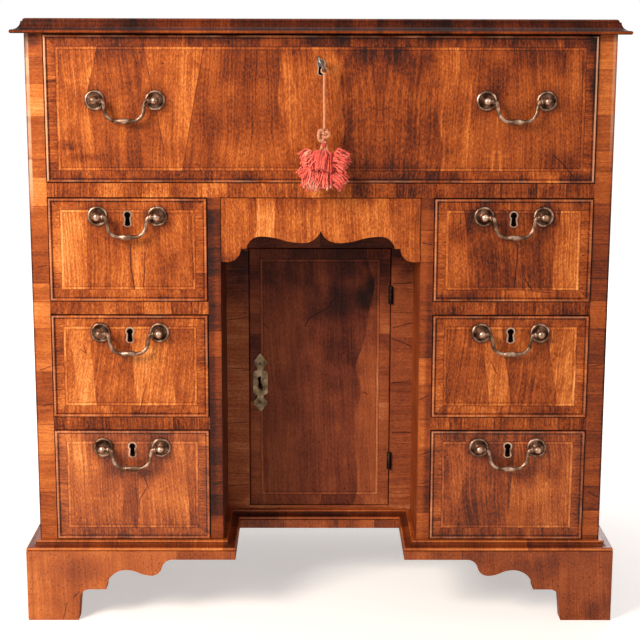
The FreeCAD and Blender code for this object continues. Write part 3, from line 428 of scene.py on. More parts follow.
# %% Walnut grain
WALNUT = (
    (0.0, "#210A04"), (0.2, "#54200D"), (0.4, "#863B15"),
    (0.6, "#B05823"), (0.8, "#DA7F3B"), (1.0, "#F8AA66"),
)
SMOKED_WALNUT = ((0.0, "#1D0A07"), (0.2, "#4C1F14"), (0.4, "#7B3B24"), (0.6, "#A5572F"), (1.0, "#E9A674"))
FIGURE_WIDTH, FIGURE_LENGTH = 0.028, 0.19
STREAK_WIDTH, STREAK_LENGTH = 0.0024, 0.105
FLECK_WIDTH, FLECK_LENGTH = 0.0020, 0.0046
PORE_WIDTH, PORE_LENGTH = 0.0011, 0.0026
CLOUD_SIZE = 0.045
GRAIN_WANDER, WANDER_SIZE = 0.008, 0.11


def walnut_grain(add, across, along, seed):
    """Figure, streaks, flecks, clouds and pores, from the distances across and along the grain."""
    place = add("CombineXYZ", across, along, seed)
    slow = add("TexNoise", place, 1 / WANDER_SIZE, 1.5)
    wander = add("MapRange", slow, 0, 1, -GRAIN_WANDER, GRAIN_WANDER)
    bent = add("CombineXYZ", add("Math", across, wander), along, seed)
    patterns = []
    for width, length, detail in (
        (FIGURE_WIDTH, FIGURE_LENGTH, 3),
        (STREAK_WIDTH, STREAK_LENGTH, 1.5),
        (FLECK_WIDTH, FLECK_LENGTH, 2),
        (PORE_WIDTH, PORE_LENGTH, 0),
    ):
        stretched = add("Mapping", bent, sockets={"Scale": (1 / width, 1 / length, 1)})
        patterns.append(add("TexNoise", stretched, 1, detail, 0.55))
    figure, streak, fleck, pore = patterns
    cloud = add("TexNoise", place, 1 / CLOUD_SIZE, 3)
    pore = add("MapRange", pore, 0.66, 0.76, 0, 1)
    return figure, streak, fleck, cloud, pore


def grain_tone(add, base, grain, contrast, figure_share):
    """A tone with the grain's patterns added and its pores taken away."""
    figure, streak, fleck, cloud, pore = grain
    tone = base
    for pattern, share in ((figure, figure_share), (streak, 0.14), (fleck, 0.16), (cloud, 0.13)):
        share = share if pattern == figure else share * contrast
        swing = add("MapRange", pattern, 0.25, 0.75, -share, share)
        tone = add("Math", tone, swing)
    return add("Math", pore, -0.17 * contrast, tone, operation="MULTIPLY_ADD")


# %% [markdown]
# ## Age
# Age leaves cracks along the grain, worm holes, stains and faded patches. A crack is a run of
# points, and the tone is darker close to that run. A patch is an oval that fades out, uneven as
# the wood's own clouds; patches give stains and faded places, and also painted shade and painted
# light. Wax turns the tone into colour, roughness and a slight relief, so that dark pores are also
# dull and a little deeper.

# %% Age and wax
CRACK_HALF = (0.3 * MM, 1.1 * MM)
CRACK_CHANGE, HOLE_CHANGE = -0.32, -0.25


def open_cracks(add, tone, x, z, cracks, rough):
    """Darken the tone along cracks, each a run of points in millimetres, with a ragged edge."""
    face = add("CombineXYZ", x, 0, z)
    ragged = add("MapRange", rough, 0.3, 0.7, *CRACK_HALF)
    for crack in cracks:
        for start, end in zip(crack, crack[1:]):
            start, end = (Vector((place[0], 0, place[1])) * MM for place in (start, end))
            run = end - start
            offset = add("VectorMath", face, start, operation="SUBTRACT")
            share = add("VectorMath", offset, run / run.length_squared, operation="DOT_PRODUCT")
            nearest = add("VectorMath", run, add("Clamp", share), operation="SCALE")
            gap = add("VectorMath", offset, nearest, operation="DISTANCE")
            inside = add("Math", gap, ragged, operation="LESS_THAN")
            tone = add("Math", inside, CRACK_CHANGE, tone, operation="MULTIPLY_ADD")
    return tone


def soft_patches(add, tone, x, z, patches, cloud):
    """Darken or lighten the tone in soft patches with a cloudy edge, each given as its middle
    x and z, its half width, its half height and its change, in millimetres."""
    face = add("CombineXYZ", x, 0, z)
    uneven = add("MapRange", cloud, 0.3, 0.7, -0.3, 0.3)
    for place_x, place_z, half_width, half_height, change in patches:
        location = (-place_x / half_width, 0, -place_z / half_height)
        scale = (1 / (half_width * MM), 1, 1 / (half_height * MM))
        local = add("Mapping", face, sockets={"Location": location, "Scale": scale})
        reach = add("Math", add("VectorMath", local, operation="LENGTH"), uneven)
        tone = add("Math", tone, add("MapRange", reach, 0.35, 1.2, change, 0))
    return tone


WORM_HOLE = 1.1 * MM
WORM_SPACING = 5.5 * MM


def worm_holes(add, tone, position, share):
    """Darken small round holes, left by woodworm, scattered at one share of the points of a grid."""
    hole = add("TexVoronoi", position, 1 / WORM_SPACING)
    inside = add("Math", hole.outputs["Distance"], WORM_HOLE / WORM_SPACING, operation="LESS_THAN")
    chosen = add("Math", add("SeparateColor", hole.outputs["Color"]), share, operation="LESS_THAN")
    inside = add("Math", inside, chosen, operation="MULTIPLY")
    return add("Math", inside, HOLE_CHANGE, tone, operation="MULTIPLY_ADD")


def aged_tone(add, base, grain, x, z, cracks, patches, contrast, figure_share=0.11):
    """The tone of the wood with its grain, its cracks and its patches of stain, painted shade and painted
    light.
    """
    tone = grain_tone(add, base, grain, contrast, figure_share)
    tone = open_cracks(add, tone, x, z, cracks, grain[2])
    return soft_patches(add, tone, x, z, patches, grain[3])


# A pale for worn edges, also used to paint highlights where an edge catches the light
PALE_WEAR_AND_HIGHLIGHT = "#E6B592"


def wax(add, shader, tone, colours, shine, gloss=0.20, wear_and_highlight=None):
    """Colour, soft wax shine and a slight relief, all from the tone. Worn edges are bleached, and the same
    pale colour is painted on as a highlight where an edge catches the light.
    """
    colour = add("ValToRGB", tone, stops=colours)
    if wear_and_highlight:
        colour = add("Mix", wear_and_highlight, colour, PALE_WEAR_AND_HIGHLIGHT, data_type="RGBA")
    rough = add("MapRange", tone, 0.1, 0.9, shine + 0.14, shine)
    relief = add("Bump", sockets={"Height": tone, "Strength": 0.25, "Distance": 0.6 * MM})
    fill(shader, {"Base Color": colour, "Roughness": rough, "Normal": relief, "Specular IOR Level": gloss})


# %% [markdown]
# ## Drawer fronts
# A drawer front is a small picture frame of veneer. Inside the raised cockbead runs a cross-band,
# whose grain stands square to the edge, then a pale feather line, then the field, laid up from
# several leaves of veneer side by side. All of that is a matter of how far a point is from the
# nearest edge of the front, so one material measures that distance and picks the layer. Each front
# has its own leaves, listed as (share of the width where the leaf starts, tone). The bead's crest is
# bleached pale, partly by wear and partly as a painted highlight, set for its left and right sides.
# Its outer edge and its crease are darkened, partly by dirt and partly as painted shade, and polish
# has gathered as dirt round the handles.

# %% Edges, handles and leaves
BEAD = 4.2 * MM
BAND_END = 16.2 * MM
LINE_END = 20.2 * MM
VENEER_DEPTH = 5.5 * MM
BAND_PIECE = 0.055
BAND_SWING = 0.09
CREST_HALF = BEAD / 2 - 1.0 * MM
JOINT_HALF = 0.7 * MM
LEAF_JUMP = 91.7
FRONT_HOLES = 0.05
OAK_TONE = 0.62
BEND_SIZE, RUB_SIZE, STAIN_SIZE = 0.10, 0.03, 0.05
ROSE_EDGE, HALO_END = 0.013, 0.027
HANDLE_HEIGHTS = {"long": 0.739, "upper": 0.581, "middle": 0.41775, "lower": 0.252}
BAY_MIDDLE = 0.2658
POST_SPREAD = 0.041
FRONT_PLANE = -0.2117


def from_posts(add, position, heights):
    """Distance from the middle of a bay, and from the nearest handle post at one of the heights."""
    x, _, z = add("SeparateXYZ", position).outputs
    bay = add("Math", x, operation="ABSOLUTE")
    bay = add("Math", add("Math", bay, -BAY_MIDDLE), operation="ABSOLUTE")
    level = 1.0
    for height in heights:
        up = add("Math", add("Math", z, -height), operation="ABSOLUTE")
        level = add("Math", up, level, operation="MINIMUM")
    post = add("CombineXYZ", add("Math", bay, -POST_SPREAD), level, 0)
    return bay, add("VectorMath", post, operation="LENGTH")


def nearest_edge(add, across, up, half_width, half_height):
    """Distance to the nearest edge of a centred panel, and whether that is one of its sides."""
    to_side = add("Math", half_width, add("Math", across, operation="ABSOLUTE"), operation="SUBTRACT")
    to_end = add("Math", half_height, add("Math", up, operation="ABSOLUTE"), operation="SUBTRACT")
    by_side = add("Math", to_side, to_end, operation="LESS_THAN")
    return add("Math", to_side, to_end, operation="MINIMUM"), by_side


def laid_leaves(add, position, x, z, half, leaves, fan, slant, waver, wedges):
    """The tones of the leaves of a field, with joints that waver a little, and of its wedges."""
    height = add("Math", z, 1 / half.z, operation="MULTIPLY")
    spread = add("Math", height, fan, 1.0, operation="MULTIPLY_ADD")
    share = add("Math", x, 0.5 / half.x, operation="MULTIPLY")
    share = add("Math", share, spread, operation="MULTIPLY")
    share = add("Math", height, slant, share, operation="MULTIPLY_ADD")
    bend = add("TexNoise", position, 1 / BEND_SIZE, 1)
    share = add("Math", share, add("MapRange", bend, 0.3, 0.7, 0.5 - waver, 0.5 + waver))
    leaf = add("ValToRGB", share, stops=leaves)
    leaf.color_ramp.interpolation = "CONSTANT"
    for place, half_width, growth, change in wedges:
        width = add("Math", z, growth, half_width * MM, operation="MULTIPLY_ADD")
        gap = add("Math", add("Math", x, -place * MM), operation="ABSOLUTE")
        inside = add("Math", gap, width, operation="LESS_THAN")
        leaf = add("Math", inside, change, leaf, operation="MULTIPLY_ADD")
        glue = add("Math", gap, width, JOINT_HALF, operation="COMPARE")
        leaf = add("Math", glue, -change, leaf, operation="MULTIPLY_ADD")
    return leaf


# %% Veneer of a front
def front_veneer(
    node, leaves, seed, fan=0.0, slant=0.0, lean=0.08, match=0.5, band=0.5, banded=True, beaded=True,
    contrast=1.0, waver=0.013, cracks=(), patches=(), gloss=0.20, side_highlight=(0.15, 0), colours=WALNUT,
    dirt=0.24, wedges=(),
):
    """Veneer for one front. Fan and slant say how the leaf joints run, lean how far the figure
    leans, and match how wide a leaf is before it is mirrored. A wedge is a leaf cut to a V, given
    as its middle, its half width, how fast that grows upwards and its change. Cracks, patches and
    wedges are in millimetres from the front's middle."""
    low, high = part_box(node)
    half = (high - low) / 2
    middle = (high + low) / 2
    material, add, shader, position = new_material(node + "_veneer")
    centred = add("Mapping", position, sockets={"Location": (-middle.x, -low.y, -middle.z)})
    x, y, z = add("SeparateXYZ", centred).outputs

    edge, by_side = nearest_edge(add, x, z, half.x, half.z)
    in_band = add("Math", edge, BAND_END if banded else 0.0, operation="LESS_THAN")
    turned = add("Math", in_band, by_side, operation="MULTIPLY")
    leaf = laid_leaves(add, position, x, z, half, leaves, fan, slant, waver, wedges)

    # Pieces of the cross-band, each of its own tone
    along_edge = add("Mix", by_side, x, z)
    piece_place = add("Math", along_edge, 1 / BAND_PIECE, seed * 1.3, operation="MULTIPLY_ADD")
    piece = add("TexVoronoi", piece_place, 1, voronoi_dimensions="1D")
    piece_tone = add("SeparateColor", piece.outputs["Color"])
    piece_swing = add("MapRange", piece_tone, 0, 1, -BAND_SWING, BAND_SWING)
    band_tone = add("Math", leaf if band is None else band, piece_swing)
    tone = add("Mix", in_band, leaf, band_tone)

    # Grain stands upright in the field, square to the edge in the band, and jumps from leaf to leaf
    mirrored = add("Math", add("Math", x, match / 2), match, operation="PINGPONG")
    leaning = add("Math", z, lean, mirrored, operation="MULTIPLY_ADD")
    across = add("Mix", turned, leaning, z)
    along = add("Mix", turned, z, x)
    depth = add("Math", tone, LEAF_JUMP, seed * 3.7, operation="MULTIPLY_ADD")
    grain = walnut_grain(add, across, along, depth)

    # Feather line between two thin dark joints, then the bead, with a painted highlight on its crest and
    # painted shade, with some dirt, at its outer edge and in its crease
    feather = ((BAND_END + LINE_END) / 2, (LINE_END - BAND_END) / 2, 0.13)
    band_lines = [feather, (BAND_END, JOINT_HALF, -0.18), (LINE_END, JOINT_HALF, -0.16)]
    bead_lines = [(BEAD / 2, CREST_HALF, 0.06), (0.0, 0.7 * MM, -0.30), (BEAD + 0.7 * MM, 0.8 * MM, -0.24)]
    for place, reach, change in band_lines * banded + bead_lines * beaded:
        here = add("Math", edge, place, reach, operation="COMPARE")
        tone = add("Math", here, change, tone, operation="MULTIPLY_ADD")
    # The bead's crest is bleached pale, partly as wear and partly as a painted highlight
    wear_and_highlight = None
    if beaded:
        crest = add("Math", edge, BEAD / 2, CREST_HALF, operation="COMPARE")
        rubbed_and_painted_light = add("TexNoise", position, 1 / RUB_SIZE, 3)
        rubbed_and_painted_light = add("MapRange", rubbed_and_painted_light, 0.38, 0.68, 0, 0.28)
        # The left and right side beads each get their own share of that pale, as a painted highlight from the
        # side of the light
        light_side_weight = add("MapRange", x, -BEAD, BEAD, *side_highlight)
        rubbed_and_painted_light = add("Math", by_side, light_side_weight, rubbed_and_painted_light, operation="MULTIPLY_ADD")
        wear_and_highlight = add("Math", crest, rubbed_and_painted_light, operation="MULTIPLY")
    tone = aged_tone(add, tone, grain, x, z, cracks, patches, contrast)
    tone = worm_holes(add, tone, position, FRONT_HOLES)

    # Years of dirt and wax along the edges and round the handles
    stain = add("MapRange", add("TexNoise", position, 1 / STAIN_SIZE, 2), 0.35, 0.7, 0, -dirt)
    near = add("MapRange", edge, 2 * MM, 28 * MM, 1, 0)
    tone = add("Math", stain, near, tone, operation="MULTIPLY_ADD")
    heights = [height for level, height in HANDLE_HEIGHTS.items() if level in node]
    if heights:
        _, from_post = from_posts(add, position, heights)
        tone = add("Math", tone, add("MapRange", from_post, ROSE_EDGE, HALO_END, -0.15, 0))

    # Behind the veneer the front is plain oak
    core = add("Math", y, VENEER_DEPTH, operation="GREATER_THAN")
    tone = add("Mix", core, tone, OAK_TONE)
    wax(add, shader, tone, colours, shine=0.32, gloss=gloss, wear_and_highlight=wear_and_highlight)
    paint(material, node)


# %% [markdown]
# ## The leaves of each front
# Every front gets its own leaves, cracks and patches, placed from the picture. Many patches are
# stains; the dark ones along the top of the long drawer are partly painted shade under the top
# moulding. The left bank is paler than the right one, and the cupboard door, deep in the kneehole,
# is painted darker as shade, darkest at the top under the apron.

# %% The leaves of each front
# The beads at both ends of this drawer carry a painted highlight, and the dark patches along its top edge are
# partly stains and partly painted shade under the top moulding
front_veneer(
    "long_drawer_front",
    [(0, 0.59), (0.085, 0.43), (0.175, 0.44), (0.42, 0.555), (0.54, 0.39), (0.71, 0.54), (0.77, 0.45)],
    seed=1, fan=0.04, slant=0.006, lean=0.06, match=0.16, band=0.49, side_highlight=(0.7, 0.5),
    wedges=[(-199, 25, 0.186, 0.15)],
    cracks=[[(330, 89), (330, 85)], [(330, 76), (329, 57)], [(318, -62), (330, -72), (345, -90)]],
    patches=[
        (68, 82, 80, 24, -0.22), (-110, 66, 70, 36, -0.10), (296, 84, 50, 24, -0.20),
        (-305, 78, 56, 20, -0.09), (102, -86, 56, 20, -0.20), (330, -80, 36, 24, -0.10),
        (355, -94, 32, 9, -0.26), (-308, -14, 18, 66, 0.13), (-183, -17, 13, 42, 0.08),
        (-130, -55, 16, 18, 0.09), (220, -34, 13, 28, 0.08), (87, -3, 54, 22, 0.06),
        (-381, 8, 20, 120, 0.22), (-344, -50, 20, 7, -0.18), (-318, -66, 34, 6, -0.14),
        (-300, 40, 30, 40, 0.05), (-35, -70, 26, 26, -0.10), (128, 62, 26, 24, -0.10),
        (-312, -88, 16, 12, 0.20), (-30, 78, 40, 20, -0.10), (84, 64, 24, 22, -0.10),
        (381, 52, 18, 80, -0.34), (240, 93, 150, 9, -0.08), (200, -93, 130, 9, -0.06),
        (345, 36, 9, 30, 0.09), (360, 60, 9, 22, -0.12), (326, 60, 9, 24, -0.10),
        (-28, 20, 22, 50, 0.07), (368, 91, 36, 15, -0.30),
    ],
)
front_veneer(
    "left_upper_drawer_front",
    [(0, 0.76), (0.245, 0.56), (0.53, 0.66), (0.58, 0.57), (0.90, 0.51)],
    seed=2, fan=0.05, lean=0.04, band=0.57,
    cracks=[[(4, 8), (3, -22), (8, -54)], [(23, -3), (22, -30), (20, -52)], [(90, -18), (90, -41)]],
    patches=[
        (-97, 4, 16, 66, 0.16), (-8, 25, 22, 18, -0.12), (99, -7, 14, 36, -0.12), (-62, 48, 16, 12, -0.10),
    ],
)
front_veneer(
    "left_middle_drawer_front",
    [(0, 0.60), (0.13, 0.75), (0.25, 0.58), (0.52, 0.71), (0.76, 0.60)],
    seed=3, slant=0.04, lean=-0.12, band=0.57,
    cracks=[[(21, -25), (15, -53), (10, -69)], [(-70, 24), (-62, 19), (-64, 28)]],
    patches=[
        (-98, 27, 12, 26, 0.14), (35, 65, 24, 8, 0.14), (19, -61, 28, 9, 0.18),
        (100, 30, 11, 20, 0.12), (0, 35, 24, 20, -0.12),
    ],
)
front_veneer(
    "left_lower_drawer_front",
    [(0, 0.57), (0.43, 0.46), (0.53, 0.58), (0.85, 0.50)],
    seed=4, fan=0.10, lean=0.06, band=0.51, gloss=0.42,
    cracks=[[(15, 14), (22, -6)], [(18, -6), (9, -22), (7, -49)]],
    patches=[
        (-82, 44, 36, 40, 0.13), (-92, -40, 22, 42, 0.13), (-12, 38, 28, 26, -0.16), (25, 34, 24, 34, -0.13),
    ],
)
front_veneer(
    "right_upper_drawer_front",
    [(0, 0.56), (0.21, 0.37), (0.51, 0.35), (0.77, 0.63)],
    seed=5, fan=-0.12, lean=0.08, band=0.47,
    cracks=[[(7, 8), (6, -18), (3, -53)], [(18, -40), (29, -57), (54, -59)], [(-73, 43), (-73, 38)]],
    patches=[(98, 6, 14, 60, 0.12), (44, 5, 11, 36, 0.05), (-74, 29, 17, 24, -0.14)],
)
front_veneer(
    "right_middle_drawer_front",
    [(0, 0.49), (0.34, 0.66), (0.47, 0.46), (0.77, 0.69)],
    seed=6, slant=0.05, lean=-0.08, band=0.51,
    cracks=[[(-26, 7), (-18, -10)], [(62, 20), (66, 15)]],
    patches=[
        (-29, 62, 26, 9, 0.16), (-98, 35, 12, 20, 0.13), (-16, -66, 26, 9, 0.15),
        (99, -15, 12, 20, 0.14), (-72, -12, 12, 40, -0.08),
    ],
)
front_veneer(
    "right_lower_drawer_front",
    [(0, 0.52), (0.20, 0.39), (0.53, 0.60), (0.86, 0.52)],
    seed=7, fan=0.02, slant=-0.03, lean=0.08, band=0.46, gloss=0.34,
    patches=[(40, 30, 38, 30, -0.17), (-104, 29, 12, 20, 0.13), (90, 15, 12, 42, 0.09)],
)
front_veneer(
    "apron_drawer_front",
    [(0, 0.57), (0.17, 0.72), (0.27, 0.60), (0.5, 0.58), (0.72, 0.72), (0.85, 0.57)],
    seed=8, fan=0.03, lean=0.03, banded=False, beaded=False,
    patches=[(130, -9, 9, 15, 0.12), (-111, 21, 20, 20, 0.07), (82, 28, 34, 15, 0.06)],
)
front_veneer(
    "cupboard_door",
    [(0, 0.37), (0.80, 0.53)],
    seed=9, slant=-0.067, lean=0.05, band=None, beaded=False, contrast=0.5, waver=0.06, gloss=0.13,
    colours=SMOKED_WALNUT, dirt=0.05,
    cracks=[[(26, 128), (12, 108), (-16, 92), (-22, 80)], [(-84, 84), (-77, 77)], [(66, -20), (72, -24)]],
    # The dark patches over the upper part of the door are painted shade under the apron
    patches=[
        (20, 176, 130, 76, -0.14), (40, 90, 50, 90, -0.12), (-58, 60, 22, 60, 0.10), (94, 145, 36, 80, -0.18),
        (-86, -120, 34, 90, 0.11), (88, 0, 20, 60, 0.10), (-6, -20, 40, 60, -0.04),
    ],
)

# %% [markdown]
# ## Cross-grained facings and mouldings
# The stiles, rails and mouldings are faced with short pieces of walnut set with the grain across
# the strip, because veneer cut that way bends round a moulding and hides end grain. Seen from the
# front a stile is a ladder of pieces in slightly different browns. A one-dimensional cell pattern
# along the strip gives each piece its tone, and its cell edges are the joints. On a moulding, bands
# by height paint highlights on the noses and shade in the hollows. Soft patches paint shade, and a
# few paint light, in the kneehole, under the apron and along the stiles' edges.

# %% Cross-grained facings and mouldings
HALF_FRONT = 420
COLUMN_JUMP, PIECE_JUMP = 37.0, 53.0
SEAM_HALF = 0.6 * MM
PALE_EDGE_FADE = 60


def cross_grain(
    node, run, piece, seed, tone=0.5, swing=0.10, contrast=1.0, shine=0.32, gloss=0.20,
    bands=(), columns=(), worn_and_lit_edges=(), cracks=(), patches=(), colours=WALNUT,
):
    """Short cross-grained pieces along a strip that runs in x or z, or both ways for a moulding.
    A band is (height, half its width, change of tone), a painted highlight or shade along a moulding,
    a column (where it starts, tone) and an edge (place of a corner, worn and painted with a highlight,
    lowest height of the pale line, strength), in millimetres."""
    material, add, shader, position = new_material(node + "_cross_grain")
    x, y, z = add("SeparateXYZ", position).outputs
    if run == "moulding":
        facing = add("SeparateXYZ", add("NewGeometry").outputs["Normal"])
        sideways = add("Math", facing.outputs["X"], operation="ABSOLUTE")
        forward = add("Math", facing.outputs["Y"], operation="ABSOLUTE")
        return_run = add("Math", sideways, forward, operation="GREATER_THAN")
        distance = add("Mix", return_run, x, y)
        along = z
    else:
        distance, along = (x, z) if run == "x" else (z, x)
    cell_place = add("Math", distance, 1 / piece, seed * 2.3, operation="MULTIPLY_ADD")
    if columns:
        share = add("MapRange", x, -HALF_FRONT * MM, HALF_FRONT * MM, 0, 1)
        stops = [((start + HALF_FRONT) / (2 * HALF_FRONT), column) for start, column in columns]
        tone = add("ValToRGB", share, stops=stops)
        tone.color_ramp.interpolation = "CONSTANT"
        cell_place = add("Math", tone, COLUMN_JUMP, cell_place, operation="MULTIPLY_ADD")
    cell = add("TexVoronoi", cell_place, 1, voronoi_dimensions="1D")
    cell_tone = add("SeparateColor", cell.outputs["Color"])
    tone = add("Math", tone, add("MapRange", cell_tone, 0, 1, -swing, swing))
    gap = add("TexVoronoi", cell_place, 1, voronoi_dimensions="1D", feature="DISTANCE_TO_EDGE")
    seam = add("Math", gap, SEAM_HALF / piece, operation="LESS_THAN")
    tone = add("Math", seam, -0.16, tone, operation="MULTIPLY_ADD")
    # Bands by height: painted highlights on the noses and painted shade in the hollows of a moulding
    for height, reach, change in bands:
        here = add("Math", z, height * MM, reach * MM, operation="COMPARE")
        tone = add("Math", here, change, tone, operation="MULTIPLY_ADD")
    depth = add("Math", cell_tone, PIECE_JUMP, seed * 5.1, operation="MULTIPLY_ADD")
    grain = walnut_grain(add, distance, along, depth)
    tone = aged_tone(add, tone, grain, x, z, cracks, patches, contrast)
    wear_and_highlight = None
    # A pale line along a corner, partly wear and partly a painted highlight where the corner catches the
    # light
    for place, lowest, strength in worn_and_lit_edges:
        gap = add("Math", add("Math", x, -place * MM), operation="ABSOLUTE")
        rim = add("MapRange", gap, 1.4 * MM, 2.8 * MM, strength, 0)
        rubbed_and_painted_light = add("MapRange", grain[3], 0.34, 0.52, 0.3, 1)
        rising = add("MapRange", z, (lowest - PALE_EDGE_FADE) * MM, lowest * MM, 0, 1)
        rubbed_and_painted_light = add("Math", rubbed_and_painted_light, rising, operation="MULTIPLY")
        rim = add("Math", rim, rubbed_and_painted_light, operation="MULTIPLY")
        wear_and_highlight = add("Math", rim, wear_and_highlight or 0, operation="MAXIMUM")
    wax(add, shader, tone, colours, shine, gloss, wear_and_highlight)
    paint(material, node)


# %% The pieces of each strip
cross_grain(
    "stile_facings", "z", piece=0.044, seed=11, swing=0.17, contrast=0.6, gloss=0.24,
    columns=((-420, 0.63), (-270, 0.25), (0, 0.46), (270, 0.41)),
    # The pale upper corners of the outer stiles are partly wear and partly a painted highlight, strongest on
    # the left
    worn_and_lit_edges=((-396.4, 640, 0.95), (396.4, 700, 0.35)),
    cracks=[
        [(-393, 364), (-386, 366), (-378, 369)], [(-391, 312), (-377, 315)], [(-391, 510), (-379, 512)],
        [(-151, 196), (-139, 202)], [(141, 241), (148, 243), (154, 246)],
        [(142, 198), (149, 200), (155, 202)], [(141, 322), (153, 328)], [(141, 544), (154, 542)],
        [(379, 370), (387, 371), (395, 373)], [(383, 187), (390, 182), (396, 179)],
    ],
    # The thin dark lines at the outer edges, the dark and light strips down the kneehole stiles and the dark
    # corner under the top moulding are painted shade and painted light
    patches=[
        (-388, 700, 20, 90, 0.12), (388, 730, 20, 110, 0.24), (-399.8, 400, 2.2, 600, -0.30),
        (399.8, 400, 2.6, 600, -0.35), (-153, 370, 6, 300, -0.10), (-143, 370, 5, 300, 0.07),
        (153, 370, 6, 300, -0.12), (143, 260, 6, 220, 0.13), (-388, 820, 14, 12, -0.25),
    ],
)
cross_grain(
    "drawer_rails", "x", piece=0.045, seed=12, swing=0.12, contrast=1.2,
    columns=((-420, 0.57), (40, 0.43)),
    patches=[
        (322, 617, 34, 12, -0.22), (90, 617, 60, 12, -0.08), (-240, 617, 40, 10, -0.08),
        (-266, 287, 170, 26, -0.20), (-266, 453, 170, 26, -0.05), (266, 453, 170, 26, -0.06),
    ],
)
cross_grain(
    "cupboard_frame", "z", piece=0.085, seed=13, swing=0.05, contrast=0.6, gloss=0.16,
    columns=((-420, 0.565), (0, 0.52)), colours=SMOKED_WALNUT,
    cracks=[
        [(-144, 407), (-106, 413)], [(-137, 250), (-106, 252)], [(-138, 152), (-107, 154)],
        [(-131, 335), (-106, 333)], [(109, 397), (137, 404)], [(109, 313), (137, 316)],
        [(110, 236), (140, 236)], [(109, 463), (139, 465)], [(108, 380), (120, 376), (138, 368)],
    ],
    # The dark band along the top, under the apron, and the darker upper ends of the stiles are painted shade
    patches=[
        (0, 520, 260, 46, -0.30), (-122, 470, 30, 60, -0.17),
        (122, 490, 24, 40, -0.12), (-85, 124, 46, 16, 0.20),
    ],
)
cross_grain(
    "top_moulding", "moulding", piece=0.110, seed=14, tone=0.135, contrast=0.7,
    shine=0.22, gloss=0.10,
    # The bands paint a highlight on the nose and shade in the hollows
    bands=((830.5, 1.3, 0.24), (834, 1.2, -0.10), (844.2, 0.7, -0.08), (846.5, 1.5, 0.05)),
)
cross_grain(
    "base_moulding", "moulding", piece=0.085, seed=15, tone=0.49, contrast=0.6,
    # The dark strip across the kneehole is partly dirt and partly painted shade; the bands paint highlights
    # on the beads and shade in the hollow
    shine=0.24, gloss=0.36, patches=[(0, 105, 140, 8, -0.20)],
    bands=((106.4, 1.3, 0.24), (110.6, 1.9, -0.20), (114.4, 0.9, 0.16)),
)
cross_grain(
    "plinth_strips", "moulding", piece=0.070, seed=16, tone=0.55, contrast=0.7,
    # The darker strip across the kneehole is partly dirt and partly painted shade
    gloss=0.36, patches=[(0, 97, 140, 24, -0.16)],
)

# %% [markdown]
# ## Sides, top and feet
# The outer sides carry plain upright walnut. The top is the show surface: four leaves opened like
# a book in both directions, inside a feather line and a cross-band. The feet are sawn boards with
# the same veneer, worn and flecked. None of these boards shows much in the picture, so they follow
# what such desks have.


# %% Sides, top and feet
def plain_veneer(
    node, seed, tone, leaf=0.32, contrast=1.0, figure=0.16, gloss=0.20, holes=0.0, cracks=(), patches=(),
):
    """Upright walnut in leaves of one width, mirrored from leaf to leaf. The grain is laid out on
    x and y together, so that it also stands upright on the narrow edges of a board."""
    material, add, shader, position = new_material(node + "_veneer")
    x, y, z = add("SeparateXYZ", position).outputs
    round_the_board = add("Math", x, y)
    mirrored = add("Math", round_the_board, leaf, operation="PINGPONG")
    leaning = add("Math", z, 0.06, mirrored, operation="MULTIPLY_ADD")
    grain = walnut_grain(add, leaning, z, seed * 4.3)
    cell = add("Math", round_the_board, 1 / leaf, operation="MULTIPLY")
    number = add("TexWhiteNoise", add("Math", cell, operation="FLOOR"), noise_dimensions="1D")
    base = add("MapRange", number, 0, 1, tone - 0.05, tone + 0.05)
    to_joint = add("Math", cell, 0.5, operation="PINGPONG")
    joint = add("Math", to_joint, JOINT_HALF / leaf, operation="LESS_THAN")
    base = add("Math", joint, -0.12, base, operation="MULTIPLY_ADD")
    tone = aged_tone(add, base, grain, x, z, cracks, patches, contrast, figure)
    tone = worm_holes(add, tone, position, holes)
    wax(add, shader, tone, WALNUT, shine=0.34, gloss=gloss)
    paint(material, node)


TOP_BAND = 0.040
TOP_LINE_HALF = 0.004


def quartered_top(node, seed):
    """Four mirrored leaves inside a feather line and a cross-band."""
    low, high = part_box(node)
    half = (high - low) / 2
    middle = (high + low) / 2
    material, add, shader, position = new_material(node + "_veneer")
    centred = add("Mapping", position, sockets={"Location": (-middle.x, -middle.y, 0)})
    x, y, _ = add("SeparateXYZ", centred).outputs
    across_x = add("Math", x, operation="ABSOLUTE")
    across_y = add("Math", y, operation="ABSOLUTE")
    edge, by_side = nearest_edge(add, x, y, half.x, half.y)
    in_band = add("Math", edge, TOP_BAND, operation="LESS_THAN")
    leaning = add("Math", across_x, 0.35, across_y, operation="MULTIPLY_ADD")
    across = add("Mix", in_band, leaning, add("Mix", by_side, x, y))
    along = add("Mix", in_band, across_x, add("Mix", by_side, y, x))
    grain = walnut_grain(add, across, along, seed)
    on_line = add("Math", edge, TOP_BAND + TOP_LINE_HALF, TOP_LINE_HALF, operation="COMPARE")
    tone = add("MapRange", in_band, 0, 1, 0.50, 0.44)
    tone = add("Math", on_line, 0.14, tone, operation="MULTIPLY_ADD")
    tone = grain_tone(add, tone, grain, contrast=0.8, figure_share=0.22)
    wax(add, shader, tone, WALNUT, shine=0.28)
    paint(material, node)


# %% The boards of sides, top and feet
# The left kneehole side is painted far darker than the right one, as shade, for its face looks away from the
# light
for side, seed, tone in (("left", 22, 0.18), ("right", 26, 0.39)):
    plain_veneer(side + "_side", seed=21, tone=0.46, leaf=0.115, contrast=0.8, figure=0.20)
    plain_veneer(side + "_kneehole_side", seed, tone, leaf=0.14, contrast=0.8, figure=0.06)
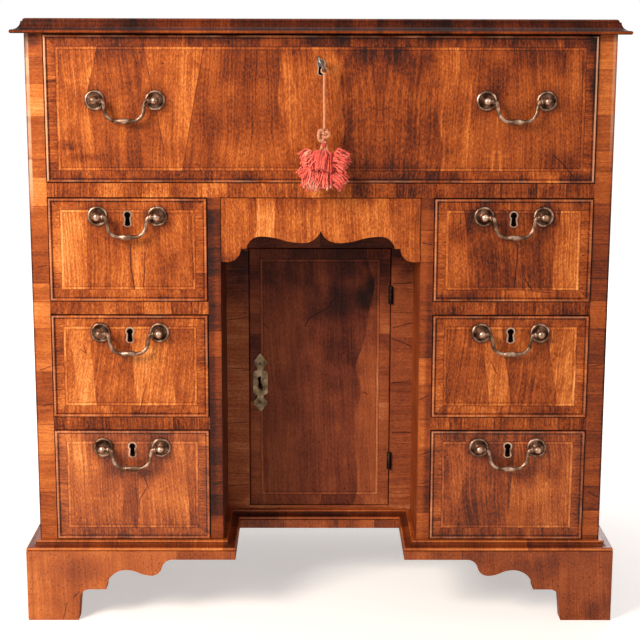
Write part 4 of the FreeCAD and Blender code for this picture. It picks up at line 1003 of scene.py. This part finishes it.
# The left foot is painted lighter and the right foot darker, as light and shade, for the light is stronger on
# the left
plain_veneer(
    "front_left_foot", seed=23, tone=0.65, contrast=0.5, figure=0.10, gloss=0.46, holes=0.7,
    cracks=[[(-362, 26), (-368, 0)], [(-344, 43), (-353, 33)]],
    patches=[(-330, 75, 40, 22, -0.10), (-400, 12, 24, 14, 0.08)],
)
plain_veneer(
    "front_right_foot", seed=27, tone=0.44, contrast=0.6, figure=0.12, gloss=0.40, holes=0.6,
    patches=[(345, 60, 40, 26, 0.10), (395, 20, 26, 24, -0.14), (300, 80, 40, 16, -0.10)],
)
plain_veneer("back_feet", seed=24, tone=0.50)
quartered_top("top_board", seed=25)

# %% [markdown]
# ## Oak and pine
# Where nobody was meant to look, the wood is bare: oak for the drawer linings, wide pine boards at
# the back, gone brown and dusty. Both are dull and open-grained.

# %% Oak and pine
OAK = ((0.0, "#40260F"), (0.3, "#80532A"), (0.6, "#B27E4A"), (1.0, "#D4A878"))
PINE = ((0.0, "#2F1C0F"), (0.3, "#62412A"), (0.6, "#946A45"), (1.0, "#B98F63"))
DUST_SIZE = 0.16


def bare_wood(name, colours, across, along, seed, facing_front=None):
    """Unwaxed boards. The grain is laid across two axes, so that it shows on every side. Boards
    that face the front may have their own axes across and along the grain."""
    material, add, shader, position = new_material(name)
    axes = dict(zip("xyz", add("SeparateXYZ", position).outputs))
    across = add("Math", axes[across[0]], axes[across[1]])
    along = axes[along]
    if facing_front:
        facing = add("SeparateXYZ", add("NewGeometry").outputs["Normal"])
        forward = add("Math", facing.outputs["Y"], operation="ABSOLUTE")
        forward = add("Math", forward, 0.5, operation="GREATER_THAN")
        across = add("Mix", forward, across, axes[facing_front[0]])
        along = add("Mix", forward, along, axes[facing_front[1]])
    grain = walnut_grain(add, across, along, seed * 6.1)
    base = add("MapRange", add("TexNoise", position, 1 / DUST_SIZE, 2), 0.3, 0.7, 0.50, 0.64)
    tone = grain_tone(add, base, grain, contrast=0.6, figure_share=0.14)
    wax(add, shader, tone, colours, shine=0.62)
    return material


drawers = ["long_drawer"]
for side in ("left", "right"):
    drawers += [f"{side}_{level}_drawer" for level in ("upper", "middle", "lower")]
linings = [drawer + "_box" for drawer in drawers] + ["apron_drawer_box"]
shelves = ["dust_boards", "bottom_boards", "drawer_stops"]
paint(bare_wood("oak_lining", OAK, across="xz", along="y", seed=31, facing_front="zx"), *linings)
paint(bare_wood("pine_back", PINE, across="xy", along="z", seed=32), "back_boards", "foot_blocks")
paint(bare_wood("pine_boards", PINE, across="yz", along="x", seed=33), *shelves)

# %% [markdown]
# ## Brass, iron and steel
# The handles are cast brass, once lacquered, now brown-grey in the hollows and rubbed bright where
# hands and cloths reach: the rim and the ball of each rose, and the thin edge round each keyhole.
# The hinges and locks are dark iron, the key old steel.

# %% Brass, iron and steel
ROSE_RADIUS = 0.016
KEYHOLE_REACH = 0.012
TARNISH_SIZE = 0.012


def rose_wear_and_keyhole_shade(add, position):
    """How far the brass is rubbed, from the distance to the nearest handle post or keyhole, with painted
    shade inside the keyholes.
    """
    x, y, _ = add("SeparateXYZ", position).outputs
    middle = add("Math", x, operation="ABSOLUTE")
    bay, from_post = from_posts(add, position, HANDLE_HEIGHTS.values())
    reach = add("MapRange", from_post, 0, ROSE_RADIUS, 0, 1)
    rings = ((0.0, 0.85), (0.30, 0.75), (0.40, 0.20), (0.64, 0.12), (0.74, 0.55), (0.86, 0.36), (1.0, 0.28))
    wear = add("ValToRGB", reach, stops=rings)
    near_key = add("Math", bay, middle, operation="MINIMUM")
    near_key = add("Math", near_key, KEYHOLE_REACH, operation="LESS_THAN")
    wear = add("Mix", near_key, wear, 0.95)
    # Brass behind the face of the front, down inside the keyholes, is painted dark as shade
    in_hole = add("Math", y, FRONT_PLANE + 0.6 * MM, operation="GREATER_THAN")
    return add("Mix", in_hole, wear, -0.6)


def old_metal(name, colours, grit, rough, wear=None):
    """Metal whose tarnish comes in soft patches with a fine grit over them, less where it is rubbed."""
    material, add, shader, position = new_material(name)
    patches = add("TexNoise", position, 1 / TARNISH_SIZE, 3)
    fine = add("TexNoise", position, 1 / grit, 2)
    bright = add("Math", fine, 0.35, patches, operation="MULTIPLY_ADD")
    bright = add("MapRange", bright, 0.45, 0.90, 0, 1)
    if wear:
        rubbed_and_painted_light = add("MapRange", wear(add, position), -1, 1, -1.35, 0.45)
        bright = add("Math", bright, rubbed_and_painted_light)
    colour = add("ValToRGB", bright, stops=colours)
    roughness = add("MapRange", bright, 0, 1, rough + 0.18, rough)
    relief = add("Bump", sockets={"Height": fine, "Strength": 0.15, "Distance": 0.2 * MM})
    fill(shader, {"Base Color": colour, "Roughness": roughness, "Normal": relief, "Metallic": 1.0})
    return material


BRASS = ((0.0, "#2C1A11"), (0.45, "#7A5B48"), (1.0, "#DDB9A0"))
PLATE = ((0.0, "#3E2F22"), (0.5, "#7B6850"), (1.0, "#A8947A"))
IRON = ((0.0, "#1C1512"), (0.6, "#3A2E27"), (1.0, "#6B5A4C"))
STEEL = ((0.0, "#3A332D"), (0.5, "#7B7068"), (1.0, "#B5AAA0"))

bails = [drawer + "_bail" for drawer in drawers[1:]] + ["long_drawer_left_bail", "long_drawer_right_bail"]
irons = ["frame_hinge_leaves", "door_hinge_leaves", "long_drawer_lock", "lock_bolt"]
fittings = [drawer + "_fittings" for drawer in drawers]
paint(old_metal("rubbed_brass", BRASS, grit=1.2 * MM, rough=0.27, wear=rose_wear_and_keyhole_shade), *fittings)
paint(old_metal("aged_brass", BRASS, grit=1.2 * MM, rough=0.33), *bails)
paint(old_metal("plate_brass", PLATE, grit=1.2 * MM, rough=0.36), "door_fittings")
paint(old_metal("dark_iron", IRON, grit=1.0 * MM, rough=0.42), *irons)
paint(old_metal("old_steel", STEEL, grit=1.0 * MM, rough=0.28), "key")
